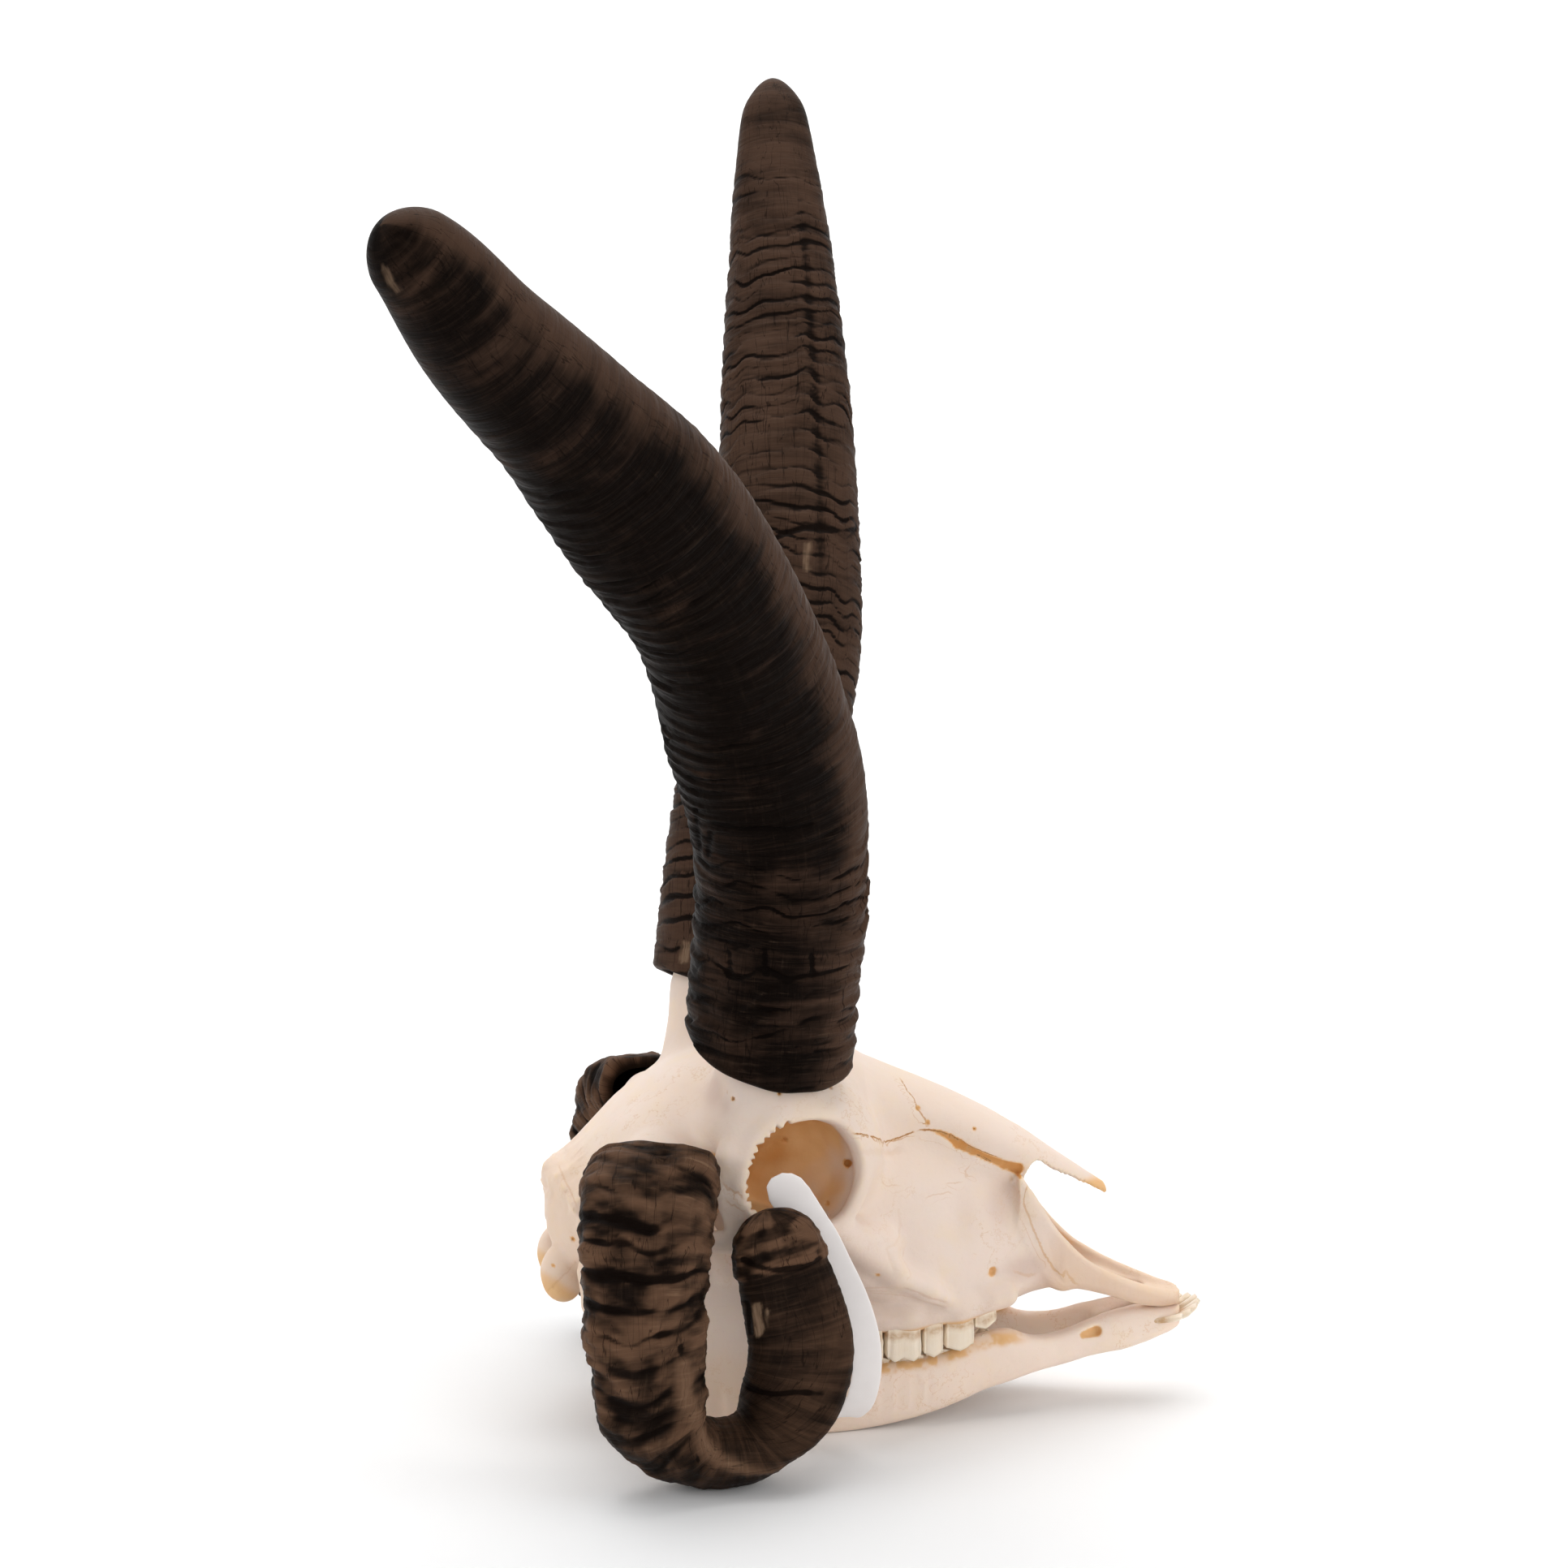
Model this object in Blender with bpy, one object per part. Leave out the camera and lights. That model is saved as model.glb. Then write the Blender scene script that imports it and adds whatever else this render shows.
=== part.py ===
"""Four-horned sheep skull with its lower jaw, standing on the jaw and the two lower horns.

Every number below is in millimetres, and MM turns it into metres when a mesh is made.
X runs towards the nose, Y towards the animal's left and Z up from the surface it rests on.
The middle plane of the head is Y 0; STAND moves the finished skull so that the middle of its
box stands over the origin.

The bones are implicit bodies: a field is negative inside the bone, and bone_shape() turns it
into a closed surface. The head and the jaw are mirror images about the middle plane, apart
from the cores of the upper horns, which grew unevenly. Horn sheaths are lofted tubes.
"""

import math

import bpy
import numpy as np
from mathutils import Matrix, Vector

MM = 0.001
FIT_GAP = 0.3  # air between pieces that touch
STAND = (4.5, -6.4, 0.0)

# Bone
GRID = 1.5  # spacing of the points where the bone fields are read
CRANIUM_SHARE = 0.0215  # share of the triangles that Decimate keeps
JAW_SHARE = 0.040
NOSE_WALL = 3.6  # thickness of the bones round the nose
ORBIT_CENTRE = (0.0, 57.5, 104.0)
ORBIT_RADIUS = (24.8, 22.6)  # of the rim's middle line, along the head and upwards
RIM_THICKNESS = 2.9
JAW_PLATE = 2.6  # half the thickness of the upright part of the jaw

# Long bodies: x, half width, top, bottom
BRAINCASE = [
    (-86, 15, 92, 66),
    (-81, 24, 97, 60),
    (-73, 31, 105, 55),
    (-60, 35, 119, 53),
    (-46, 37, 129, 53),
    (-28, 39, 136, 56),
    (-10, 42, 140, 62),
    (10, 41, 137, 70),
    (26, 34, 131, 80),
]
FACE = [
    (2, 40, 118, 62),
    (16, 43.5, 117, 50),
    (30, 42, 113, 44),
    (44, 38.5, 108, 41),
    (58, 32.5, 103, 39),
    (70, 27, 98, 38.5),
    (80, 22.5, 93, 40),
    (92, 19, 86, 43.5),
    (106, 17, 79, 45),
    (120, 15, 71, 44),
]
NASALS = [
    (-6, 42, 140, 100),
    (12, 37, 137.5, 100),
    (27, 29, 132, 98),
    (46, 22.5, 124.5, 95),
    (70, 19, 113.5, 90),
    (88, 15.8, 103, 85),
    (100, 11.2, 94.8, 79),
    (110, 7.6, 88, 76),
    (119, 4, 82, 73),
]

# Lower jaw: x, distance from the middle plane, half thickness, top, bottom
JAW_BODY = [
    (148, 4.3, 3.8, 35.0, 28.4),
    (142, 5.6, 5.0, 35.4, 25.6),
    (130, 7.2, 5.2, 36.0, 21.2),
    (115, 9.4, 4.8, 33.0, 18.8),
    (100, 13.2, 4.6, 28.8, 16.2),
    (90, 16.6, 4.6, 28.8, 15.0),
    (80, 19.4, 4.4, 32.6, 12.6),
    (70, 21.4, 5.0, 31.6, 10.0),
    (60, 24.0, 5.8, 28.6, 6.8),
    (50, 26.0, 6.4, 26.6, 4.0),
    (36, 28.2, 6.6, 26.0, 1.4),
    (20, 30.2, 6.4, 26.0, -0.4),
    (4, 32.6, 5.6, 26.2, -0.8),
    (-20, 36.4, 4.0, 29.0, 1.5),
]
# Its upright part: z, front edge, back edge, distance from the middle plane
JAW_RAMUS = [
    (0, 4, -26, 35.5),
    (8, 7, -36, 36.4),
    (18, 4, -43, 38.0),
    (30, -2, -45, 39.6),
    (42, -7, -43, 41.0),
    (54, -13, -42, 42.0),
    (66, -18, -45, 43.0),
    (74, -22, -48, 43.5),
]

# Cheek teeth from the front backwards: length and width of the crown, how much shorter it is, lobes
UPPER_TEETH = [
    (8.3, 6.0, 5.0, 1),
    (11.4, 8.6, 0.4, 1),
    (7.6, 9.6, 0.2, 1),
    (13.4, 10.6, 0.0, 2),
    (14.8, 10.8, 0.0, 2),
    (15.6, 10.0, 0.0, 2),
]
LOWER_TEETH = [
    (6.0, 4.2, 0.0, 1),
    (8.6, 5.6, 0.0, 1),
    (9.8, 6.4, 0.0, 1),
    (12.2, 7.2, 0.0, 2),
    (13.8, 7.4, 0.0, 2),
    (20.0, 7.0, 0.0, 2),
]
# Rows of cheek teeth: x, distance from the middle plane, edge of the gum
UPPER_ROW = [
    (74.6, 25.4, 41.0), (66, 26.6, 39.6), (51, 29.6, 38.2),
    (34, 31.6, 36.6), (16, 32.4, 36.6), (-2, 31.4, 38.4),
]
LOWER_ROW = [
    (73.4, 20.8, 31.4), (62, 23.4, 28.8), (50, 25.8, 26.4),
    (34, 28.4, 25.6), (16, 30.2, 25.8), (0, 33.0, 27.0),
]
# Where the rows meet: x and the height at BITE_SIDE from the middle plane
BITE = [(76, 29.5), (66, 27.4), (51, 26.6), (34, 26.8), (16, 27.4), (-2, 29.6)]
BITE_SIDE = 35.0
BITE_SLOPE = 0.36  # rise for each millimetre towards the tongue
BITE_GAP = 0.5
TOOTH_SPACE = 0.4  # between neighbours
ROOT_DEPTH = 5.5
CUSP_DEPTH = 1.6
GROOVE_RISE = 8.0  # how far the groove that holds a row of teeth reaches past the gum

# Incisors from the middle outwards: root, neck and tip of each
INCISORS = [
    ((140.0, 2.3, 29.6), (150.4, 2.5, 30.6), (155.2, 2.6, 36.4)),
    ((138.6, 5.2, 29.8), (149.2, 6.2, 30.8), (153.6, 6.9, 35.8)),
    ((136.2, 8.0, 30.2), (146.6, 9.6, 31.0), (150.8, 10.8, 34.8)),
    ((132.4, 9.8, 30.8), (142.2, 12.4, 31.4), (147.0, 14.0, 33.8)),
]
# Their section and that of their sockets: share of the way from root to tip, half width, half thickness
INCISOR_SECTIONS = [
    (0.0, 0.9, 0.9),
    (0.42, 1.05, 1.05),
    (0.72, 2.0, 1.2),
    (0.93, 2.1, 0.85),
    (1.0, 1.5, 0.4),
]
INCISOR_SOCKET = [(0.0, 1.4, 1.4), (0.25, 1.45, 1.45), (0.5, 1.5, 1.5)]
INCISOR_PAST = 0.3  # how far a front tooth runs past its first and last section
SOCKET_PAST = 0.8

# Horn centre lines: x, y, z, half width, half depth, then the direction of the wide axis
UPPER_RIGHT_HORN = [
    (-10.6, -36, 122, 30.5, 26.5, 1.0, 0.0, 0.0),
    (-9.0, -39, 146, 30.5, 26.5, 1.0, 0.0, 0.0),
    (-7.4, -42, 172, 30.2, 26.5, 1.0, 0.0, 0.0),
    (-5.6, -46, 201, 30.3, 26.5, 1.0, 0.0, 0.0),
    (-7.4, -54, 229, 31.2, 26.5, 1.0, 0.0, 0.1),
    (-15.6, -68, 262, 32.2, 27.0, 1.0, 0.0, 0.3),
    (-33.0, -96, 307, 29.2, 26.0, 1.0, 0.0, 0.7),
    (-59.0, -124, 345, 29.8, 24.5, 1.0, 0.0, 0.9),
    (-86.8, -150, 376, 24.6, 22.0, 1.0, 0.0, 0.9),
    (-112.4, -173, 402.4, 20.8, 19.2, 1.0, 0.0, 0.9),
    (-129.6, -190, 424.2, 16.4, 15.2, 1.0, 0.0, 0.9),
    (-142.0, -200, 436, 12.0, 11.0, 1.0, 0.0, 0.9),
]
UPPER_LEFT_HORN = [
    (-17.5, 35, 135, 29.8, 27.0, 1.0, 0.0, 0.0),
    (-14.5, 41, 162, 29.8, 27.0, 1.0, 0.0, 0.0),
    (-11.0, 48, 190, 29.8, 26.5, 1.0, 0.0, 0.0),
    (-3.4, 60, 228, 30.2, 26.0, 1.0, 0.0, 0.0),
    (7.8, 80, 272, 29.8, 25.5, 1.0, 0.0, 0.0),
    (11.9, 98, 307, 27.8, 25.0, 1.0, 0.0, 0.0),
    (13.7, 118, 343, 26.5, 24.0, 1.0, 0.0, 0.0),
    (14.5, 138, 380, 24.2, 22.0, 1.0, 0.0, 0.0),
    (15.3, 157, 417, 20.6, 19.0, 1.0, 0.0, 0.0),
    (15.1, 173, 452, 16.3, 15.5, 1.0, 0.0, 0.0),
    (15.2, 182, 474, 12.8, 11.5, 1.0, 0.0, 0.0),
    (15.0, 188, 488, 9.0, 8.5, 1.0, 0.0, 0.0),
]
LOWER_RIGHT_HORN = [
    (-50.6, -50, 104, 22.5, 16.0, 1.0, 0.0, 0.0),
    (-53.1, -67, 104, 23.0, 16.5, 1.0, 0.0, 0.0),
    (-57.0, -84, 97, 23.0, 16.5, 1.0, 0.0, 0.0),
    (-59.2, -96, 78, 21.6, 16.0, 1.0, 0.0, 0.0),
    (-58.6, -99.5, 52, 20.0, 14.5, 1.0, -0.1, 0.0),
    (-53.4, -95.5, 25.0, 19.6, 13.8, 0.8, -0.6, 0.0),
    (-38.0, -90, 13.4, 16.5, 12.2, 0.1, -1.0, 0.25),
    (-18.5, -87, 15.2, 16.5, 12.0, 0.4, -0.9, 0.2),
    (-6.5, -86, 33.0, 17.6, 12.0, 0.95, -0.35, 0.1),
    (-4.0, -85, 50.0, 18.2, 12.0, 1.0, 0.0, 0.1),
    (-7.2, -83.5, 67.0, 16.8, 12.0, 1.0, 0.0, 0.2),
    (-11.0, -82.5, 82.0, 15.0, 11.5, 1.0, 0.0, 0.2),
    (-15.0, -82, 97.0, 13.5, 10.5, 1.0, 0.0, 0.2),
]
# The base of the left one is narrower; these knots take the place of the first ones, mirrored
LOWER_LEFT_BASE = [
    (-45.0, -50, 104, 17.0, 15.5, 1.0, 0.0, 0.0),
    (-47.5, -67, 104, 18.0, 16.0, 1.0, 0.0, 0.0),
    (-51.5, -84, 97, 19.5, 16.0, 1.0, 0.0, 0.0),
    (-53.5, -95.5, 79, 20.4, 15.5, 1.0, 0.0, 0.0),
]
# The open end of each sheath along its centre line: middle, lean along the wide axis and across it
UPPER_RIGHT_RIM = (24.0, -3.7, 8.5)
UPPER_LEFT_RIM = (12.5, -8.0, 0.0)
LOWER_RIM = (12.0, 0.0, 3.0)
RIM_WALL = 3.6  # sheath thickness at the open end
LEFT_RIM_WALL = 5.8  # the same of the lower left horn

# Bony horn cores: x, y, z, radius
UPPER_RIGHT_CORE = [(-9, -36, 118, 23), (-8.5, -39, 150, 18.0), (-7.0, -43, 178, 11)]
UPPER_LEFT_CORE = [(-19.5, 34, 118, 24), (-17.8, 38, 150, 19.2), (-13.5, 46, 180, 11)]
LOWER_RIGHT_CORE = [(-47, -28, 104, 15), (-50, -50, 104, 11.5), (-53, -68, 102, 8)]
LOWER_LEFT_CORE = [(-43, 28, 104, 15), (-45, 50, 104.5, 10.2), (-47, 66, 103.6, 7.4)]

# The identification strap, a flat band round the cheek bone under the right eye socket:
# x, y, z, half width
STRAP_THICKNESS = 0.8
STRAP_PATH = [
    (-9.6, -67.0, 105.2, 2.2),
    (-8.8, -67.0, 103.6, 5.0),
    (-6.6, -67.0, 100.2, 6.9),
    (-3.6, -67.2, 96.0, 7.2),
    (-0.2, -67.6, 92.0, 6.4),
    (4.2, -68.0, 86.8, 5.2),
    (11.8, -68.0, 72.2, 5.2),
    (18.5, -67.0, 57.0, 5.2),
    (22.0, -65.6, 44.0, 5.2),
    (22.6, -62.6, 29.0, 5.2),
    (19.4, -57.6, 16.6, 5.2),
    (15.4, -52.4, 12.6, 5.2),
    (12.4, -48.2, 16.8, 5.2),
    (10.2, -46.0, 32.0, 5.2),
    (6.8, -45.2, 50.0, 5.2),
    (1.8, -44.8, 68.0, 5.2),
    (-3.0, -47.6, 86.0, 5.2),
    (-4.6, -55.4, 94.6, 5.2),
    (-5.0, -62.8, 96.4, 5.2),
]

# Finishes: name, colour, roughness
BONE = ("bone", (0.80, 0.70, 0.58), 0.55)
TOOTH = ("enamel", (0.84, 0.76, 0.62), 0.35)
UPPER_HORN = ("upper_horn", (0.045, 0.030, 0.022), 0.5)
LOWER_HORN = ("lower_horn", (0.060, 0.040, 0.028), 0.5)
STRAP = ("strap", (0.86, 0.85, 0.86), 0.4)


def clear_scene():
    for obj in list(bpy.data.objects):
        bpy.data.objects.remove(obj)


def material(finish):
    """One Principled material for each finish, made once."""
    name, colour, roughness = finish
    if name in bpy.data.materials:
        return bpy.data.materials[name]
    made = bpy.data.materials.new(name)
    made.use_nodes = True
    shader = made.node_tree.nodes["Principled BSDF"]
    shader.inputs["Base Color"].default_value = (*colour, 1.0)
    shader.inputs["Roughness"].default_value = roughness
    shader.inputs["Metallic"].default_value = 0.0
    return made


def add_object(name, points, faces, finish):
    mesh = bpy.data.meshes.new(name)
    mesh.from_pydata([tuple(p) for p in np.asarray(points) * MM], [], faces)
    if finish:
        mesh.shade_smooth()
        mesh.materials.append(material(finish))
    obj = bpy.data.objects.new(name, mesh)
    bpy.context.scene.collection.objects.link(obj)
    return obj


def mirrored(points, faces):
    """The same shape on the other side of the middle plane, with its faces still pointing out."""
    return np.asarray(points) * (1, -1, 1), [tuple(reversed(face)) for face in faces]


# Fields. p is a tuple (x, y, z) of arrays, and a result is negative inside.


def smooth_curve(x, knots, values):
    """A cubic through the knots, held level beyond both ends."""
    knots, values = np.asarray(knots, float), np.asarray(values, float)
    if knots[0] > knots[-1]:
        knots, values = knots[::-1], values[::-1]
    slopes = np.gradient(values, knots)
    i = np.clip(np.searchsorted(knots, x) - 1, 0, len(knots) - 2)
    step = knots[i + 1] - knots[i]
    t = np.clip((x - knots[i]) / step, 0, 1)
    rise = (3 - 2 * t) * t * t
    start = t * (1 - t) ** 2 * step * slopes[i]
    end = -t * t * (1 - t) * step * slopes[i + 1]
    return values[i] * (1 - rise) + values[i + 1] * rise + start + end


def table_curves(x, table, columns):
    """The given columns of a table, read along its first one."""
    rows = np.asarray(table, float)
    return [smooth_curve(x, rows[:, 0], rows[:, k]) for k in columns]


def join(a, b, blend):
    """Both bodies, with a fillet of about this size where they meet."""
    h = np.clip(0.5 + 0.5 * (b - a) / blend, 0, 1)
    return b + (a - b) * h - blend * h * (1 - h)


def cut(a, b, blend=1.0):
    """Body a with b cut away."""
    return -join(-a, b, blend)


def ellipsoid(p, centre, radii):
    q = [(p[k] - centre[k]) / radii[k] for k in range(3)]
    near = np.sqrt(q[0] ** 2 + q[1] ** 2 + q[2] ** 2) + 1e-6
    steep = np.sqrt(sum((q[k] / radii[k]) ** 2 for k in range(3))) + 1e-6
    return near * (near - 1) / steep


def rod(p, start, end, r_start, r_end):
    """A round bar whose radius changes evenly from one end to the other."""
    a, b = np.asarray(start, float), np.asarray(end, float)
    d = b - a
    q = [p[k] - a[k] for k in range(3)]
    t = np.clip((q[0] * d[0] + q[1] * d[1] + q[2] * d[2]) / (d @ d), 0, 1)
    away = np.sqrt(sum((q[k] - t * d[k]) ** 2 for k in range(3)))
    return away - (r_start + (r_end - r_start) * t)


def bar(p, knots, blend=2.0):
    """Rods end to end. Each knot is x, y, z, radius."""
    made = None
    for first, last in zip(knots, knots[1:]):
        piece = rod(p, first[:3], last[:3], first[3], last[3])
        made = piece if made is None else join(made, piece, blend)
    return made


def long_body(p, stations, power=2.4, taper=0.0, grow=0.0, closed=True):
    """A body along X with rounded square sections. taper widens its lower part, grow swells it."""
    x, y, z = p
    half_width, top, bottom = table_curves(x, stations, (1, 2, 3))
    half_height = (top - bottom) / 2 + grow
    height = (z - (top + bottom) / 2) / half_height
    half_width = (half_width + grow) * (1 - taper * np.clip(height, -1, 1))
    section = (np.abs(y / half_width) ** power + np.abs(height) ** power) ** (1 / power)
    inside = (section - 1) * np.minimum(half_width, half_height)
    if not closed:
        return inside
    ends = np.maximum(stations[0][0] - x, x - stations[-1][0])
    return np.maximum(inside, ends + np.maximum(inside, -3) * 0.5)


def plate(a, b, rounding):
    """Where both a and b are negative, with rounded edges."""
    a, b = a + rounding, b + rounding
    return np.hypot(np.maximum(a, 0), np.maximum(b, 0)) + np.minimum(np.maximum(a, b), 0) - rounding


def orbit_frame(p):
    """Across the rim, upwards in it and out of it, for the left eye socket."""
    out = Vector((0.30, 0.94, 0.14)).normalized()
    across = (Vector((1, 0, 0)) - out * out.x).normalized()
    up = across.cross(out)
    q = [p[k] - ORBIT_CENTRE[k] for k in range(3)]
    return [q[0] * v[0] + q[1] * v[1] + q[2] * v[2] for v in (across, up, out)]


def orbit_rim(p):
    u, v, w = orbit_frame(p)
    mean = sum(ORBIT_RADIUS) / 2
    ring = (np.hypot(u / ORBIT_RADIUS[0], v / ORBIT_RADIUS[1]) - 1) * mean
    return np.hypot(ring, w) - RIM_THICKNESS


def orbit_cavity(p):
    u, v, w = orbit_frame(p)
    return ellipsoid((u, v, w), (0, 0, 3), (ORBIT_RADIUS[0] - 1, ORBIT_RADIUS[1] - 1, 30))


def nose_cavity(p):
    face = long_body(p, FACE, 3.0, 0.22, -NOSE_WALL, False)
    nasals = long_body(p, NASALS, 2.3, 0.0, -NOSE_WALL, False)
    return np.maximum(join(face, nasals, 5), 44 - p[0])


def incisive_bones(p):
    """The two front bones that reach from the side of the nose to the tip, and the floor between."""
    x, y, z = p
    knots = (84, 90, 98, 107.5, 118, 130, 140, 148)
    top = smooth_curve(x, knots, (92, 82, 70, 59.6, 52.4, 46.4, 42.4, 39.8))
    low = smooth_curve(x, knots, (70, 58, 47, 46, 43.2, 38.6, 36.6, 36.4))
    side = smooth_curve(x, knots, (18.4, 17.8, 17.0, 15.8, 14.2, 11.8, 8.8, 5.4))
    wall = plate((np.abs(z - (top + low) / 2) - (top - low) / 2) * 0.8, np.abs(y - side) - 2.3, 1.8)
    floor = plate(np.abs(z - low - 2.0) - 1.9, y - side, 1.4)
    slit = rod(p, (112, 6.2, 46), (133, 5.0, 40), 3.2, 2.4)
    bones = join(wall, np.maximum(cut(floor, slit), 92 - x), 2.5)
    return np.maximum(bones, np.maximum(x - 148 + y * y * 0.035, 84 - x))


def skull_base(p):
    """The underside behind the palate, the joint with the neck and the processes round the ear."""
    base = bar(p, [(-76, 0, 56, 8), (-46, 0, 54, 7), (-8, 0, 56, 6)], 3)
    parts = [
        ellipsoid(p, (-82.0, 13.5, 57), (8.2, 8, 10.8)),
        bar(p, [(-73, 30, 62, 5), (-72, 31, 50, 4), (-69, 31, 37, 2.6)]),
        ellipsoid(p, (-59, 21, 50), (9, 7, 8)),
        bar(p, [(-60, 33, 68, 5), (-63, 44, 73, 4.2)]),
        bar(p, [(-84, 0, 92, 4.2), (-81, 14, 91, 4.0), (-76, 27, 86, 4), (-72, 34, 76, 4), (-71, 35, 64, 4)]),
        bar(p, [(-84, 0, 90, 4), (-83.5, 0, 84, 3)]),
        plate(np.abs(p[1] - 12) - 2, np.hypot((p[0] + 6) / 1.3, p[2] - 56) - 15, 1.5),
    ]
    for piece in parts:
        base = join(base, piece, 3)
    return base


def cheek_bones(p):
    """The arch from the cheek to the ear, the bar behind the eye and the crest on the cheek."""
    arch = [
        (30, 42, 72, 7), (16, 51, 79, 6), (-2, 58.5, 80.5, 4.6),
        (-20, 61, 80, 4), (-38, 59.5, 80, 4), (-52, 50, 80, 4.6),
    ]
    bones = bar(p, arch, 3)
    bones = join(bones, bar(p, [(-52, 50, 80, 4.6), (-58, 38, 80, 6)], 3), 3)
    bones = join(bones, ellipsoid(p, (-50, 43, 80.5), (9, 10, 4.5)), 3)
    eye_bar = [(-18, 50, 125, 5), (-25, 59, 110, 4.6), (-26, 61, 96, 4.2), (-22, 61.5, 82, 4)]
    bones = join(bones, bar(p, eye_bar, 3), 3)
    crest = [(20, 48, 74, 5), (36, 44, 62, 4), (48, 39.5, 54, 3.2), (55, 36, 49, 2.6)]
    return join(bones, bar(p, crest, 3), 6)


def alveolar_ridge(p):
    ridge = [
        (78, 23.5, 47.5, 5.6), (60, 28, 44.6, 6.4), (42, 31, 43.4, 6.6),
        (22, 32.4, 43.0, 6.6), (-4, 31, 44.8, 6.2),
    ]
    return bar(p, ridge, 3)


def cranium_field(p):
    x, y, z = p
    q = (x, np.abs(y), z)
    front_edge = smooth_curve(z, (40, 47, 66, 87, 100), (106, 100, 92, 86, 84))
    nasal_edge = smooth_curve(x, (80, 88, 99, 109, 119), (60, 90.5, 89.6, 84.4, 78.6))
    face = np.maximum(long_body(q, FACE, 3.0, 0.22), x - front_edge)
    nasals = np.maximum(long_body(q, NASALS, 2.3), nasal_edge - z)
    head = join(long_body(q, BRAINCASE, 2.3), face, 10)
    head = join(head, ellipsoid(q, (-1, 38, 106), (32, 24.5, 28)), 9)
    head = join(head, nasals, 5)
    head = join(head, alveolar_ridge(q), 3)
    hollows = [
        ellipsoid(q, (38, 0, 36), (62, 23, 9.5)),
        rod(q, (-30, 0, 46), (22, 0, 55), 11, 8),
        ellipsoid(q, (-39, 56, 86), (22, 19, 26)),
        ellipsoid(q, (-6, 47.5, 74), (21, 8.5, 21)),
        orbit_cavity(q),
    ]
    for hollow in hollows:
        head = cut(head, hollow, 2)
    head = cut(head, nose_cavity(q))
    head = join(head, orbit_rim(q), 3)
    head = join(head, cheek_bones(q), 4)
    neck_hole = rod(q, (-110, 0, 64), (-66, 0, 68), 9, 8)
    head = cut(join(head, skull_base(q), 4), neck_hole, 2)
    head = join(head, incisive_bones(q), 3)
    for core in (UPPER_RIGHT_CORE, UPPER_LEFT_CORE, LOWER_RIGHT_CORE, LOWER_LEFT_CORE):
        head = join(head, bar(p, core, 6), 11)
    u, v, w = orbit_frame(q)
    radii = (ORBIT_RADIUS[0] - RIM_THICKNESS, ORBIT_RADIUS[1] - RIM_THICKNESS, 30)
    opening = ellipsoid((u, v, w), (0, 0, 3), radii)
    head = cut(head, np.minimum(opening, np.maximum(orbit_cavity(q), w + 2)), 1.5)
    return cut(head, rod(q, (66, 25, 58.0), (80, 29, 56.5), 2.6, 2.2), 1)


def jaw_field(p):
    """The left half of the lower jaw: tooth-bearing body, upright ramus, hinge and muscle processes."""
    x, y, z = p
    middle, thick, top, bottom = table_curves(x, JAW_BODY, (1, 2, 3, 4))
    across = np.abs((y - middle) / thick) ** 2.6
    upwards = np.abs((z - (top + bottom) / 2) / ((top - bottom) / 2)) ** 2.6
    body = ((across + upwards) ** (1 / 2.6) - 1) * thick
    front = x - 147.5 + 0.12 * np.maximum(y - 4, 0) ** 2
    body = np.maximum(body, np.maximum(front, -24 - x))
    front, back, side = table_curves(z, JAW_RAMUS, (1, 2, 3))
    outline = np.maximum(np.maximum(x - front, back - x), np.maximum(-z, z - 76))
    jaw = join(body, plate(outline, np.abs(y - side) - JAW_PLATE, 2.2), 5)
    jaw = join(jaw, bar(p, [(-25, 43, 64, 4.2), (-29, 44.3, 74, 3.4), (-33, 44.8, 83, 2.4)]), 3)
    jaw = join(jaw, bar(p, [(-44, 42, 62, 4), (-47, 43.5, 68, 3.8)]), 3)
    jaw = join(jaw, ellipsoid(p, (-47, 43, 69), (5, 10, 3.2)), 2)
    jaw = join(jaw, bar(p, [(120, 2.5, 27.5, 4.4), (141, 2.5, 30.5, 4.4)]), 4)
    jaw = cut(jaw, rod(p, (112, 17, 28.6), (120, 12.0, 29.2), 1.6, 2.0), 0.6)
    return np.maximum(jaw, np.maximum(FIT_GAP / 2 - y, -z))


def read_field(field, low, high, step):
    """Field values on a grid of points, the outermost layer held outside the body."""
    axes = [np.arange(low[k], high[k] + step, step) for k in range(3)]
    values = field(np.meshgrid(*axes, indexing="ij"))
    edge = np.ones_like(values, bool)
    edge[1:-1, 1:-1, 1:-1] = False
    return np.where(edge, np.maximum(values, step), values)


def mend_corners(values, step):
    """Fills grid squares whose inside points meet only across a diagonal, which would pinch the surface."""
    filled = -0.05 * step
    for _ in range(12):
        changed = False
        for a, b in ((0, 1), (0, 2), (1, 2)):
            v = np.moveaxis(values, (a, b), (0, 1))
            s = v < 0
            c00, c10, c01, c11 = s[:-1, :-1], s[1:, :-1], s[:-1, 1:], s[1:, 1:]
            one, other = c00 & c11 & ~c10 & ~c01, c10 & c01 & ~c00 & ~c11
            v[1:, :-1][one] = filled
            v[:-1, :-1][other] = filled
            changed = changed or bool(one.any() or other.any())
        if not changed:
            break
    return values


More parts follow.
